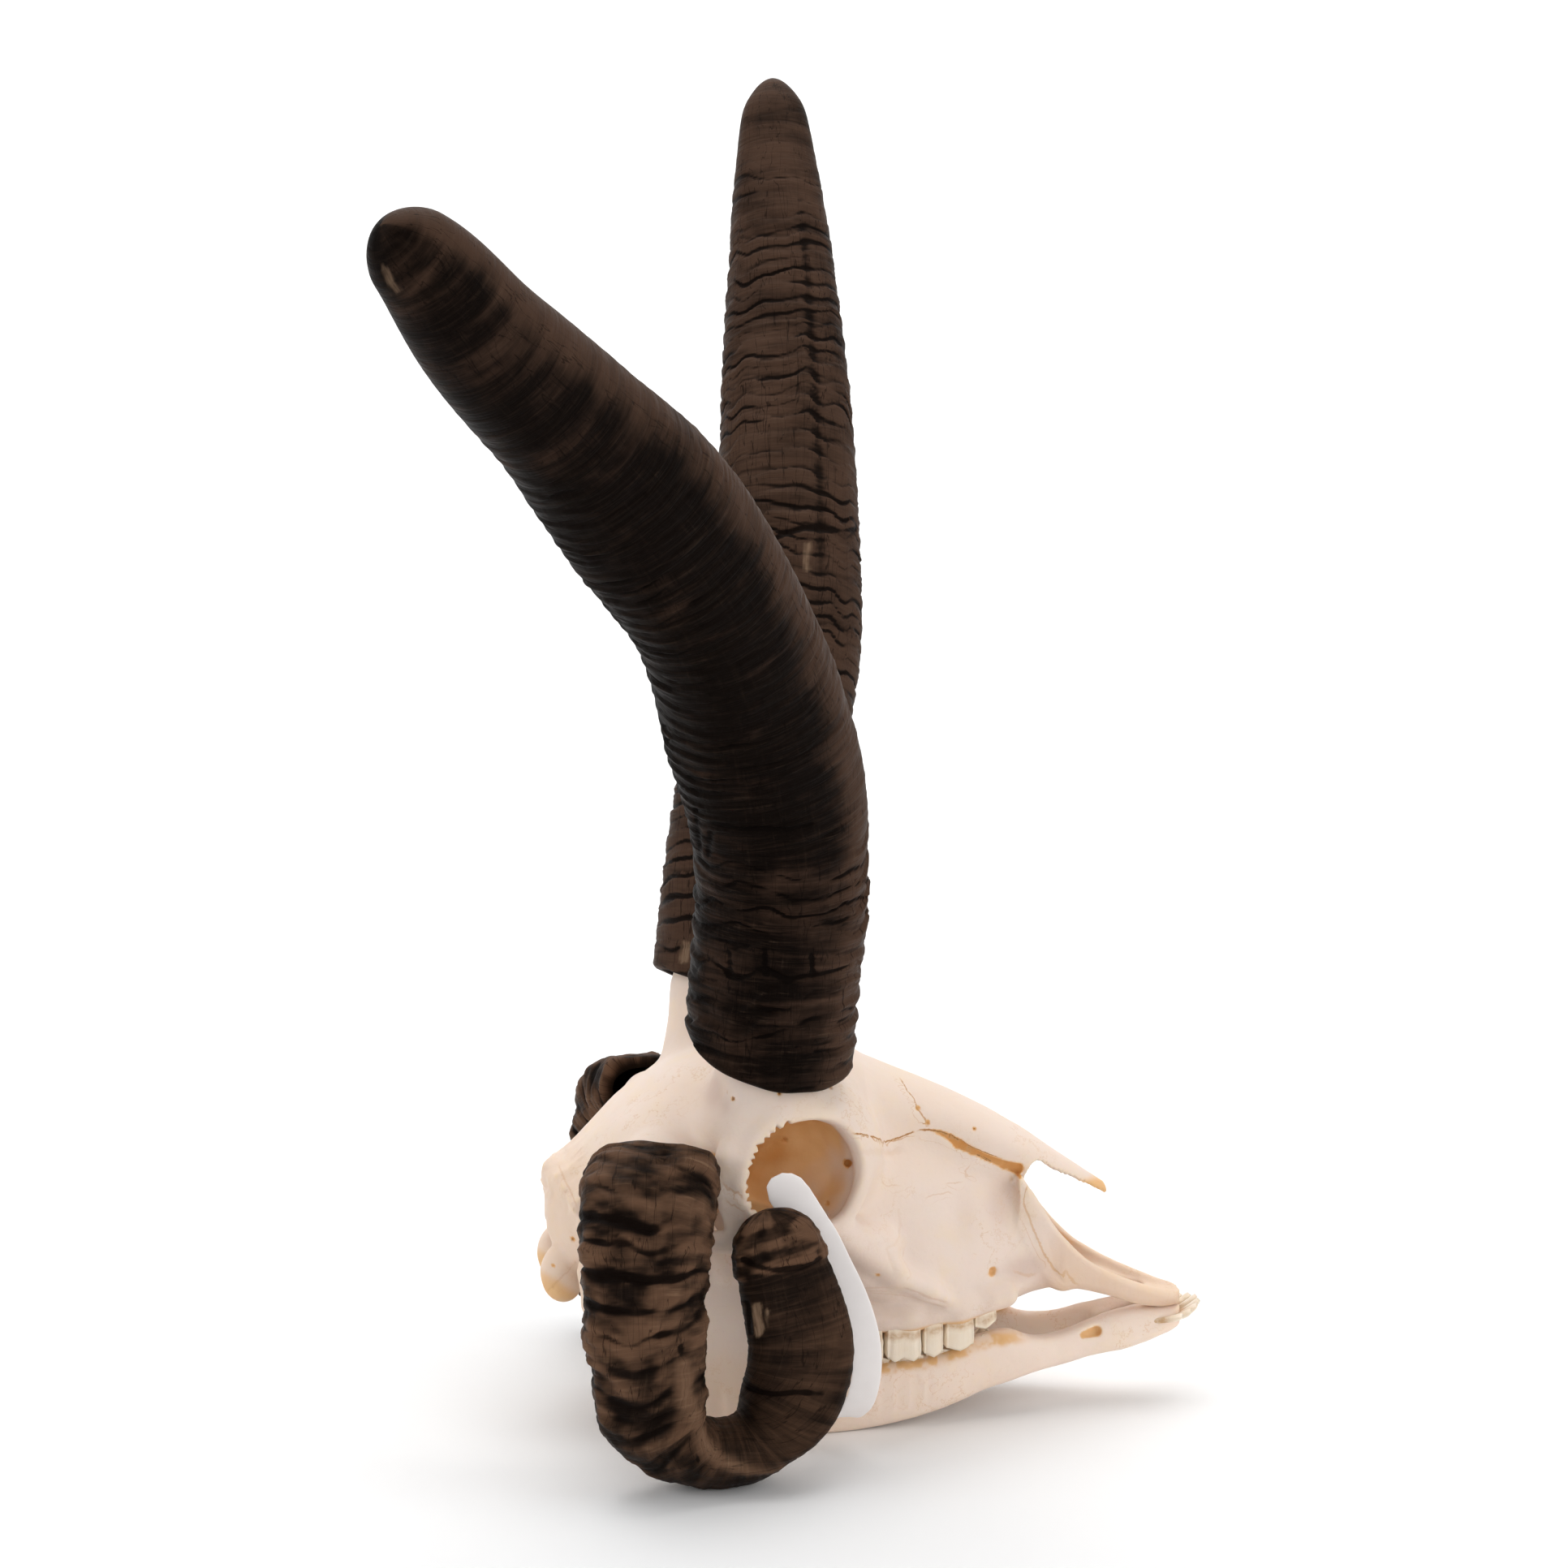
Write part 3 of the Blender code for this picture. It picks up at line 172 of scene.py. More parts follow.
# Cracks and sutures, alike on both sides: half width, darkness, depth of the groove, height of one side
# above the other, then points along it
SEAMS = [
    (0.3, 0.75, 0.35, 0, [
        (41.2, 9.6, 125.4), (42.2, 12.5, 124.2), (43, 16.2, 122.4), (44.8, 17.4, 120.9),
        (45.9, 19.3, 118.9), (46.6, 20.5, 116.7), (47.8, 21.3, 114.4), (49.1, 21.4, 112.9),
        (50.6, 21.6, 110.2)]),
    (0.32, 0.95, 0.4, 0, [
        (18.6, 55, 116.6), (20.8, 53.3, 115.9), (24.6, 50.3, 114.4), (29.7, 43.3, 111.2),
        (33, 33, 107.6), (35.4, 26.9, 106.4), (39.1, 24.9, 106.7), (42.7, 23.6, 107.9),
        (46.3, 22.5, 108.8), (49.9, 21.8, 109)]),
    (0.42, 1, 0.3, 0, [
        (46.3, 22.5, 108.8), (49.9, 21.8, 109), (54.4, 21, 108), (58, 20.5, 106.2), (61.6, 20, 103.9),
        (65.2, 20, 101.3), (68.8, 20, 99.5), (72.4, 20, 97.6), (76.9, 19.6, 95.4)]),
    (0.34, 0.55, 0.12, 0.6, [
        (87.3, 18.1, 86.4), (85.1, 20.2, 84.1), (85.5, 20.3, 80), (87.3, 20.3, 75.5), (89, 20.3, 71),
        (91.2, 20.4, 66), (93, 20.4, 61.9), (94.8, 20.2, 58.7), (98.6, 19.5, 53.8),
        (102.7, 18.7, 50.2), (107.3, 18, 47.7)]),
    (0.5, 0.22, 0.4, 0.5, [
        (22, 42.6, 57), (26.5, 43.4, 56.5), (32.4, 44.2, 56.7), (39.1, 45.6, 56.6),
        (44.6, 43.6, 54.1), (50, 41.7, 51.3), (55.7, 38.5, 48.5)]),
    (0.4, 0.2, 0.4, 0.3, [
        (26.7, 41.8, 54), (34.5, 41.4, 53), (43.4, 39.9, 50.6), (49.7, 38.1, 48.2), (55, 37.7, 46.6)]),
    (1.1, 0.12, 0.6, 0, [
        (21, 53, 110), (22.5, 53.5, 109.2), (27.2, 50.1, 108.5), (33, 33, 104), (40.2, 26, 102.9)]),
    (0.5, 0.1, 0.35, 0, [
        (37.5, 38.8, 84.4), (38.1, 39.8, 78.7), (37.3, 42, 75), (35, 46.9, 73.3), (31.6, 49.6, 72.9),
        (32.9, 49.7, 69.4), (34.9, 48.1, 63.3)]),
    (0.3, 0.16, 0.3, 0, [(39, 40, 71), (37, 43, 66.5), (38.5, 44, 62), (36.5, 45, 60)]),
    (0.25, 0.35, 0.15, 0, [
        (66.5, 19.4, 95), (65.1, 20, 93.5), (63.6, 21.4, 92.6), (65.7, 21, 91.3), (63.4, 22.8, 90.3)]),
    (0.25, 0.35, 0.15, 0, [(55.8, 27.3, 90), (57.2, 26.5, 90), (60, 25.1, 89.7), (62.9, 23.5, 89.6)]),
    (0.25, 0.3, 0.15, 0, [
        (47.6, 33, 86.3), (49, 32.4, 86.8), (51.4, 30.8, 87.4), (54.1, 29.7, 86.6), (57, 27.9, 87.3),
        (59, 27.5, 85.9)]),
    (0.25, 0.25, 0.15, 0, [
        (30, 38.4, 94.4), (31.4, 37.7, 94.2), (33.3, 36.7, 92.3), (36, 35.4, 92.2),
        (38.5, 34.7, 91.6)]),
    (0.5, 0.3, 0.4, 0, [(82, 23.4, 55.2), (88.2, 20.6, 51.9), (89.9, 20.3, 52.5), (91.1, 20.2, 53.3)]),
    (0.35, 0.5, 0.5, 0.3, [
        (-28.6, 63.6, 102.6), (-27, 65.4, 100.6), (-26.6, 66, 101.4), (-24.6, 67.4, 99.2),
        (-23.4, 67.8, 99.9), (-21.2, 67.9, 97.4)]),
    (0.35, 0.45, 0.5, 0.3, [
        (-27, 64.6, 96.6), (-25.4, 66, 94.6), (-24.2, 66.5, 95.2), (-22.3, 68.2, 93),
        (-20.6, 67.8, 93.4)]),
    (0.35, 0.25, 0.4, 0.3, [
        (-88.6, 16, 50.4), (-86.5, 18.8, 53.3), (-83.1, 21.3, 57.5), (-79.6, 22.9, 60.6),
        (-77.1, 30.9, 64.5)]),
    (0.35, 0.3, 0.4, 0.2, [
        (-83, 9, 95.8), (-81.4, 19.3, 93.2), (-78.9, 28.4, 88.9), (-77.4, 31.6, 85.8)]),
]
# The wide gap under the nasal bone: points along its middle and half widths
NASAL_GAP = [
    (51.5, 0, 108.7, 0.3), (54.4, 0, 107.6, 0.5), (58, 0, 105.5, 0.95), (61.6, 0, 102.9, 1.35),
    (65.2, 0, 100.7, 0.95), (68.8, 0, 99, 0.75), (72.4, 0, 97, 0.85), (76.9, 0, 94.8, 0.95),
    (80.6, 0, 92.9, 1.5), (84, 0, 91.8, 2)]
# Small holes on both sides: middle, radius
HOLES = [
    ((46.6, 20.5, 116.7), 0.75), ((50.1, 21.7, 111.4), 0.7), ((67.6, 17.7, 107.7), 0.5),
    ((-3.5, 32.7, 109.5), 1.1), ((18.3, 42.6, 102.7), 1.4), ((10.9, 43.6, 88.5), 0.8),
    ((-26.1, 50.6, 131.6), 0.7), ((-23.6, 53.3, 129.8), 0.55), ((-7.8, 57.2, 132.5), 0.8),
    ((11.7, 48.5, 132.1), 0.7), ((-78.9, 25.6, 72.8), 0.7), ((-86, 19.9, 61.6), 0.5),
    ((28.6, 48.6, 62.6), 0.7)]
# Hollows of the face and forehead, sunk and darkened with painted shade: middle, radii, depth
HOLLOWS = [
    ((77, 19.5, 79.2), (8, 9, 11), 0.8), ((86, 20.5, 55.5), (13, 8, 6), 1),
    ((-30, 40, 130), (6, 12, 7), 1.2), ((101, 18.5, 53.5), (12, 8, 5), 0.8),
    ((114, 16.5, 48.5), (12, 8, 3.6), 0.4), ((-27, 50, 127), (4, 9, 5), 0.7),
    ((40, 36, 66), (9, 12, 12), 0.5), ((63, 26, 76), (7, 9, 14), 0.5), ((6, 46, 132), (8, 8, 5), 0.6)]

# Marks of the near horns: points of dark cracks, and two ends, radius and strength of each pale bare spot.
# A mark is found from the side, so a distance along Y counts only by this share
SIDE_SHARE = 0.3
HORN_CRACKS = {
    "right_upper_horn": [
        [
            (-31.8, -74.9, 232.4), (-24, -80.2, 230.3), (-15.9, -82.2, 230.8), (-7, -82.4, 230.6),
            (0.9, -81.1, 232)],
        [(-37.6, -70, 237.3), (-37.1, -66, 229.3), (-35.5, -60.3, 218.9)],
        [(-33, -72, 228), (-33.4, -66.5, 219)],
        [(-25.8, -62, 184), (-25.4, -61.6, 176)],
        [(-14, -70, 186), (-13.5, -69.5, 177.5)],
        [(2.5, -69, 184), (3, -68.8, 176.5)],
    ],
    "left_upper_horn": [
        [
            (2.1, 78.3, 314), (6.1, 75.3, 315.9), (15.4, 76.5, 318.8), (26, 80, 317.4),
            (37.3, 90.9, 316.6)],
    ],
    "right_lower_horn": [
        [
            (-23.8, -90, 82.2), (-17, -92.4, 79.6), (-11.5, -93.2, 79), (-3.5, -92.4, 79.6),
            (3.1, -88.5, 81.6)],
        [(-21.9, -88.4, 35.8), (-14, -96, 35.2), (-6.4, -97.9, 36.3), (3, -95, 35.6)],
        [(-46.9, -110.6, 58), (-46.5, -110.1, 53.1), (-44.9, -110.8, 35.8), (-40.7, -108.5, 17)],
        [(-22.4, -90.2, 66.6), (-21.9, -90.9, 64.8), (-21.4, -91.2, 56)],
    ],
}
HORN_BARE = {
    "right_upper_horn": [((-141, -202, 423), (-137.6, -200, 416.2), 1, 0.35)],
    "left_upper_horn": [
        ((16.7, 73.7, 312.9), (15.8, 68.8, 304.2), 0.8, 0.8),
        ((-33.7, 22.8, 169.7), (-35, 22.4, 165.2), 1.4, 0.6)],
    "right_lower_horn": [
        ((-19, -92.6, 65.4), (-18.7, -92, 56.7), 1.5, 0.9),
        ((-15.8, -93, 64), (-15.4, -92.6, 59), 0.4, 0.7)],
}
HORN_KEEL = [
    (-46.2, -110.8, 52), (-45.8, -111.7, 40.4), (-42.4, -109.9, 30.8), (-39, -109.3, 22.7),
    (-33.6, -107, 16.3), (-23.8, -103.4, 10.3), (-12, -99, 8)]
# Grooves across the curled horns: distance along the horn and depth
LOWER_GROOVES = [
    (22, 0.5), (30, 0.6), (38, 0.9), (45.5, 1.1), (51.5, 1), (60.5, 1.7), (69, 0.9), (77, 1),
    (86, 0.8), (96, 0.9), (107, 0.7), (119, 0.6), (131, 0.4)]

STRAP_THICKNESS = 0.8
STRAP_PATH = [
    (-9.6, -67, 105.2, 2.2), (-8.8, -67, 103.6, 5), (-6.6, -67, 100.2, 6.9), (-3.6, -67.2, 96, 7.2),
    (-0.2, -67.6, 92, 6.4), (4.2, -68, 86.8, 5.2), (11.8, -68, 72.2, 5.2), (18.5, -67, 57, 5.2),
    (22, -65.6, 44, 5.2), (22.6, -62.6, 29, 5.2), (19.4, -57.6, 16.6, 5.2), (15.4, -52.4, 12.6, 5.2),
    (12.4, -48.2, 16.8, 5.2), (10.2, -46, 32, 5.2), (6.8, -45.2, 50, 5.2), (1.8, -44.8, 68, 5.2),
    (-3, -47.6, 86, 5.2), (-4.6, -55.4, 94.6, 5.2), (-5, -62.8, 96.4, 5.2)]

# The camera: turned to the animal's front and raised by these angles, metres away, focal length in
# millimetres, and the point that it looks at
CAMERA_AZIMUTH, CAMERA_ELEVATION = math.radians(-6), math.radians(9)
CAMERA_DISTANCE = 1.4
CAMERA_LENS = 88.96
CAMERA_TARGET = (-0.0045, 0.0064, 0.233)
# Lights: place, width and power; the one at the back lights the backdrop
LIGHTS = [
    ("right", (1.8, -0.8, 1.1), 1.3, 14.0),
    ("left", (-1.9, -0.7, 1.1), 1.3, 14.0),
    ("front", (0.3, -2.2, 0.5), 1.6, 13.5),
    ("top", (0.0, 0.1, 2.0), 1.6, 7.0),
    ("back", (0.0, 0.9, 1.9), 2.4, 34.0),
]
BACKDROP_MIDDLE = (0, 1.7, 0.4)

# Horn colours: dark, brown, pale, and the shares that horn_material names
UPPER_HORN = ((0.0032, 0.0018, 0.0013), (0.060, 0.033, 0.0215), (0.18, 0.115, 0.078), (1.0, 0.5, 0.3))
LOWER_HORN = ((0.0085, 0.0050, 0.0036), (0.120, 0.064, 0.038), (0.27, 0.165, 0.10), (0.8, 0.55, 0.4))


# Noise


def lattice(cell, seed):
    """A fixed number from 0 to 1 for each whole-numbered point."""
    n = cell[..., 0] * 73856093 ^ cell[..., 1] * 19349663 ^ cell[..., 2] * 83492791 ^ seed * 2971215073
    n = (n ^ (n >> 13)) & 0x7FFFFFFF
    n = (n * 1274126177 + 12345) & 0x7FFFFFFF
    n = (n ^ (n >> 15)) & 0x7FFFFFFF
    return (n * 69069 & 0x7FFFFFFF) / 0x7FFFFFFF


def noise(points, size, seed=1):
    """Smooth noise from -1 to 1 with bumps of about this size, which may differ along each axis."""
    q = points / np.asarray(size, float) + seed * 7.31
    cell = np.floor(q).astype(np.int64)
    t = q - cell
    t = t * t * (3 - 2 * t)
    total = 0.0
    for corner in np.ndindex(2, 2, 2):
        weight = 1.0
        for k in range(3):
            weight = weight * (t[..., k] if corner[k] else 1 - t[..., k])
        total = total + weight * lattice(cell + np.array(corner), seed)
    return total * 2 - 1


def layered(points, size, seed=1, layers=3):
    """Noise with finer and weaker noise on top of it."""
    total = sum(noise(points, np.asarray(size, float) / 2 ** k, seed + k) / 2 ** k for k in range(layers))
    return total / (2 - 0.5 ** (layers - 1))


def step(value, low, high):
    """0 below low, 1 above high and smooth between; high may be the smaller one."""
    t = np.clip((value - low) / (high - low), 0, 1)
    return t * t * (3 - 2 * t)


def xyz(points):
    """The three coordinates of an array of points, as the fields read them."""
    return points[..., 0], points[..., 1], points[..., 2]


def on_left(points):
    """The points, those of the right side mirrored to the left, where the bones are described."""
    x, y, z = xyz(points)
    return np.stack([x, np.abs(y), z], axis=-1)


def unit(vectors):
    return vectors / np.linalg.norm(vectors, axis=-1, keepdims=True)


def distances(points):
    """How far along a line each of its points lies."""
    return np.concatenate([[0], np.cumsum(np.linalg.norm(np.diff(points, axis=0), axis=1))])


def squarish(value, power):
    """A sine or cosine bent so that the ring it draws becomes a rounded rectangle."""
    return np.sign(value) * np.abs(value) ** power


# Bone fields. p is a tuple (x, y, z) of arrays, and a result is negative inside.


def smooth_curve(x, knots, values):
    """A cubic through the knots, held level beyond both ends."""
    knots, values = np.asarray(knots, float), np.asarray(values, float)
    if knots[0] > knots[-1]:
        knots, values = knots[::-1], values[::-1]
    slopes = np.gradient(values, knots)
    i = np.clip(np.searchsorted(knots, x) - 1, 0, len(knots) - 2)
    gap = knots[i + 1] - knots[i]
    t = np.clip((x - knots[i]) / gap, 0, 1)
    rise = (3 - 2 * t) * t * t
    start = t * (1 - t) ** 2 * gap * slopes[i]
    end = -t * t * (1 - t) * gap * slopes[i + 1]
    return values[i] * (1 - rise) + values[i + 1] * rise + start + end


def table_curves(x, table, columns):
    rows = np.asarray(table, float)
    return [smooth_curve(x, rows[:, 0], rows[:, k]) for k in columns]


def join(a, b, blend):
    h = np.clip(0.5 + 0.5 * (b - a) / blend, 0, 1)
    return b + (a - b) * h - blend * h * (1 - h)


def cut(a, b, blend=1.0):
    return -join(-a, b, blend)


def ellipsoid(p, centre, radii):
    q = [(p[k] - centre[k]) / radii[k] for k in range(3)]
    near = np.sqrt(q[0] ** 2 + q[1] ** 2 + q[2] ** 2) + 1e-6
    steep = np.sqrt((q[0] / radii[0]) ** 2 + (q[1] / radii[1]) ** 2 + (q[2] / radii[2]) ** 2) + 1e-6
    return near * (near - 1) / steep


def rod(p, start, end, r_start, r_end):
    a, b = np.asarray(start, float), np.asarray(end, float)
    d = b - a
    q = [p[k] - a[k] for k in range(3)]
    t = np.clip((q[0] * d[0] + q[1] * d[1] + q[2] * d[2]) / (d @ d), 0, 1)
    away = np.sqrt((q[0] - t * d[0]) ** 2 + (q[1] - t * d[1]) ** 2 + (q[2] - t * d[2]) ** 2)
    return away - (r_start + (r_end - r_start) * t)


def bar(p, knots, blend=2.0):
    made = None
    for first, last in zip(knots, knots[1:]):
        piece = rod(p, first[:3], last[:3], first[3], last[3])
        made = piece if made is None else join(made, piece, blend)
    return made


def long_body(p, stations, power=2.4, taper=0.0, grow=0.0, closed=True):
    x, y, z = p
    half_width, top, bottom = table_curves(x, stations, (1, 2, 3))
    half_height = (top - bottom) / 2 + grow
    height = (z - (top + bottom) / 2) / half_height
    half_width = (half_width + grow) * (1 - taper * np.clip(height, -1, 1))
    section = (np.abs(y / half_width) ** power + np.abs(height) ** power) ** (1 / power)
    inside = (section - 1) * np.minimum(half_width, half_height)
    if not closed:
        return inside
    ends = np.maximum(stations[0][0] - x, x - stations[-1][0])
    return np.maximum(inside, ends + np.maximum(inside, -3) * 0.5)


def plate(a, b, rounding):
    a, b = a + rounding, b + rounding
    return np.hypot(np.maximum(a, 0), np.maximum(b, 0)) + np.minimum(np.maximum(a, b), 0) - rounding


def orbit_frame(p):
    """Across, up and out of the eye socket, stretched so that its uneven edge becomes an ellipse."""
    out = Vector((0.30, 0.94, 0.14)).normalized()
    across = (Vector((1, 0, 0)) - out * out.x).normalized()
    up = across.cross(out)
    q = [p[k] - ORBIT_CENTRE[k] for k in range(3)]
    u, v, w = [q[0] * way[0] + q[1] * way[1] + q[2] * way[2] for way in (across, up, out)]
    share = np.interp(np.degrees(np.arctan2(v, u)), ORBIT_EDGE[0], ORBIT_EDGE[1])
    return [u / share, v / share, w]


def orbit_rim(p):
    u, v, w = orbit_frame(p)
    mean = sum(ORBIT_RADIUS) / 2
    ring = (np.hypot(u / ORBIT_RADIUS[0], v / ORBIT_RADIUS[1]) - 1) * mean
    return np.hypot(ring, w) - RIM_THICKNESS


def orbit_cavity(p):
    u, v, w = orbit_frame(p)
    return ellipsoid((u, v, w), (0, 0, 3), (ORBIT_RADIUS[0] - 1, ORBIT_RADIUS[1] - 1, SOCKET_DEPTH))


def nose_cavity(p):
    face = long_body(p, FACE, 3.0, 0.22, -NOSE_WALL, False)
    nasals = long_body(p, NASALS, 2.3, 0.0, -NOSE_WALL, False)
    return np.maximum(join(face, nasals, 5), 44 - p[0])


def incisive_bones(p):
    x, y, z = p
    knots = (84, 90, 98, 107.5, 118, 130, 140, 148)
    top = smooth_curve(x, knots, (92, 82, 70, 59.6, 52.4, 46.4, 42.4, 39.8))
    low = smooth_curve(x, knots, (70, 58, 47, 46, 43.2, 38.6, 36.6, 36.4))
    side = smooth_curve(x, knots, (18.4, 17.8, 17.0, 15.8, 14.2, 11.8, 8.8, 5.4))
    wall = plate((np.abs(z - (top + low) / 2) - (top - low) / 2) * 0.8, np.abs(y - side) - 2.3, 1.8)
    floor = plate(np.abs(z - low - 2.0) - 1.9, y - side, 1.4)
    slit = rod(p, (112, 6.2, 46), (133, 5.0, 40), 3.2, 2.4)
    bones = join(wall, np.maximum(cut(floor, slit), 92 - x), 2.5)
    return np.maximum(bones, np.maximum(x - 148 + y * y * 0.035, 84 - x))


def skull_base(p):
    base = bar(p, [(-76, 0, 56, 8), (-46, 0, 54, 7), (-8, 0, 56, 6)], 3)
    parts = [
        ellipsoid(p, (-82.0, 13.5, 57), (8.2, 8, 10.8)),
        bar(p, [(-73, 30, 62, 5), (-72, 31, 50, 4), (-69, 31, 37, 2.6)]),
        ellipsoid(p, (-59, 21, 50), (9, 7, 8)),
        bar(p, [(-60, 33, 68, 5), (-63, 44, 73, 4.2)]),
        bar(p, [(-84, 0, 92, 4.2), (-81, 14, 91, 4), (-76, 27, 86, 4), (-72, 34, 76, 4), (-71, 35, 64, 4)]),
        bar(p, [(-84, 0, 90, 4), (-83.5, 0, 84, 3)]),
        plate(np.abs(p[1] - 12) - 2, np.hypot((p[0] + 6) / 1.3, p[2] - 56) - 15, 1.5),
    ]
    for piece in parts:
        base = join(base, piece, 3)
    return base


def cheek_bones(p):
    arch = [(30, 42, 72, 7), (16, 51, 79, 6), (-2, 58.5, 80.5, 4.6), (-20, 61, 80, 4), (-38, 59.5, 80, 4)]
    arch.append((-52, 50, 80, 4.6))
    bones = bar(p, arch, 3)
    bones = join(bones, bar(p, [arch[-1], (-58, 38, 80, 6)], 3), 3)
    bones = join(bones, ellipsoid(p, (-50, 43, 80.5), (9, 10, 4.5)), 3)
    eye_bar = [(-18, 50, 125, 5), (-25, 59, 110, 4.6), (-26, 61, 96, 4.2), (-22, 61.5, 82, 4)]
    bones = join(bones, bar(p, eye_bar, 3), 3)
    crest = [(20, 48, 74, 5), (36, 44, 62, 4), (48, 39.5, 54, 3.2), (55, 36, 49, 2.6)]
    return join(bones, bar(p, crest, 3), 6)


def alveolar_ridge(p):
    ridge = [(78, 23.5, 47.5, 5.6), (60, 28, 44.6, 6.4), (42, 31, 43.4, 6.6), (22, 32.4, 43, 6.6)]
    return bar(p, [*ridge, (-4, 31, 44.8, 6.2)], 3)


def cranium_field(p):
    x, y, z = p
    q = (x, np.abs(y), z)
    front_edge = smooth_curve(z, (40, 47, 66, 87, 100), (106, 100, 92, 86, 84))
    nasal_edge = smooth_curve(x, (80, 88, 99, 109, 119), (60, 90.5, 89.6, 84.4, 78.6))
    face = np.maximum(long_body(q, FACE, 3.0, 0.22), x - front_edge)
    nasals = np.maximum(long_body(q, NASALS, 2.3), nasal_edge - z)
    head = join(long_body(q, BRAINCASE, 2.3), face, 10)
    head = join(head, ellipsoid(q, (-1, 38, 106), (32, 24.5, 28)), 9)
    head = join(head, nasals, 5)
    head = join(head, alveolar_ridge(q), 3)
    hollows = [
        ellipsoid(q, (38, 0, 36), (62, 23, 9.5)),
        rod(q, (-30, 0, 46), (22, 0, 55), 11, 8),
        ellipsoid(q, (-39, 56, 86), (22, 19, 26)),
        ellipsoid(q, (-6, 47.5, 74), (21, 8.5, 21)),
        orbit_cavity(q),
    ]
    for hollow in hollows:
        head = cut(head, hollow, 2)
    head = cut(head, nose_cavity(q))
    head = join(head, orbit_rim(q), 3)
    head = join(head, cheek_bones(q), 4)
    neck_hole = rod(q, (-110, 0, 64), (-66, 0, 68), 9, 8)
    head = cut(join(head, skull_base(q), 4), neck_hole, 2)
    head = join(head, incisive_bones(q), 3)
    for core in (UPPER_RIGHT_CORE, UPPER_LEFT_CORE, LOWER_RIGHT_CORE, LOWER_LEFT_CORE):
        head = join(head, bar(p, core, 6), 11)
    u, v, w = orbit_frame(q)
    opening = ellipsoid((u, v, w), (0, 0, 3), (*ORBIT_OPENING, SOCKET_DEPTH))
    head = cut(head, np.minimum(opening, np.maximum(orbit_cavity(q), w + 2)), 1.5)
    return cut(head, rod(q, *CHEEK_HOLE), 1)


def jaw_field(p):
    x, y, z = p
    middle, thick, top, bottom = table_curves(x, JAW_BODY, (1, 2, 3, 4))
    across = np.abs((y - middle) / thick) ** 2.6
    upwards = np.abs((z - (top + bottom) / 2) / ((top - bottom) / 2)) ** 2.6
    body = ((across + upwards) ** (1 / 2.6) - 1) * thick
    front = x - 147.5 + 0.12 * np.maximum(y - 4, 0) ** 2
    body = np.maximum(body, np.maximum(front, -24 - x))
    front, back, side = table_curves(z, JAW_RAMUS, (1, 2, 3))
    outline = np.maximum(np.maximum(x - front, back - x), np.maximum(-z, z - 76))
    jaw = join(body, plate(outline, np.abs(y - side) - JAW_PLATE, 2.2), 5)
    jaw = join(jaw, bar(p, [(-25, 43, 64, 4.2), (-29, 44.3, 74, 3.4), (-33, 44.8, 83, 2.4)]), 3)
    jaw = join(jaw, bar(p, [(-44, 42, 62, 4), (-47, 43.5, 68, 3.8)]), 3)
    jaw = join(jaw, ellipsoid(p, (-47, 43, 69), (5, 10, 3.2)), 2)
    jaw = join(jaw, bar(p, [(120, 2.5, 27.5, 4.4), (141, 2.5, 30.5, 4.4)]), 4)
    jaw = cut(jaw, rod(p, *JAW_HOLE), 0.6)
    return np.maximum(jaw, np.maximum(0.15 - y, -z))


def carve(values, low, high, body, blend=0.5, depth=None):
    """Takes a body out of the field inside a box. body and depth, the greatest depth under the surface,
    read points given as an array, y without its sign."""
    for side in (1, -1):
        ends = sorted((low[1] * side, high[1] * side))
        a, b = np.array((low[0], ends[0], low[2])), np.array((high[0], ends[1], high[2]))
        first = np.floor((a - GRID_LOW) / GRID).astype(int)
        last = np.minimum(np.ceil((b - GRID_LOW) / GRID).astype(int), values.shape)
        axes = [GRID_LOW[k] + GRID * np.arange(first[k], last[k]) for k in range(3)]
        p = on_left(np.stack(np.meshgrid(*axes, indexing="ij"), axis=-1))
        block = tuple(slice(first[k], last[k]) for k in range(3))
        shape = body(p)
        if depth is not None:
            shape = np.maximum(shape, -values[block] - depth(p))
        values[block] = cut(values[block], shape, blend)


def nasal_gap(p):
    """The open suture between the nasal bone and the upper jaw, ragged along its lower edge."""
    x, y, z = xyz(p)
    course = np.interp(x, [k[0] for k in NASAL_GAP], [k[2] for k in NASAL_GAP])
    z = z + layered(p, (2.0, 9.0, 2.0), 31, 2) * 0.75 * step(z - course, 0.3, -0.6)
    return np.maximum(bar((x, (y - 17.0) / 6, z), NASAL_GAP, 0.3), y - 30)


def gap_depth(p):
    return 0.6 + 0.2 * noise(p, 4, 17)


def serration(p):
    """Notches in the back edge of the eye socket."""
    u, v, w = orbit_frame(xyz(p))
    a, b = ORBIT_OPENING
    turn = np.arctan2(v / b, u / a)
    notch = np.abs((turn * 5.9 + noise(p, 6, 3) * 0.5) % 1 - 0.5) * 2
    deep = 3.6 * notch ** 1.2 * step(u, -2, -8) * (0.75 + 0.25 * noise(p, 5, 8))
    return np.maximum((np.hypot(u / a, v / b) - 1) * 20 - deep, np.abs(w - 1.5) - 5.5)


def small_hole(middle, radius):
    way = np.array((0.1, 0.95, 0.25))
    return lambda p: rod(xyz(p), middle + way * 3, middle - way * 0.8, radius, radius * 0.8)


def cranium_details(values):
    carve(values, (48, 8, 84), (92, 27, 114), nasal_gap, 0.4, gap_depth)
    carve(values, (-34, 48, 78), (4, 74, 130), serration, 0.4)
    for middle, radius in HOLES:
        middle = np.array(middle)
        carve(values, middle - 5, middle + 5, small_hole(middle, radius), 0.3)


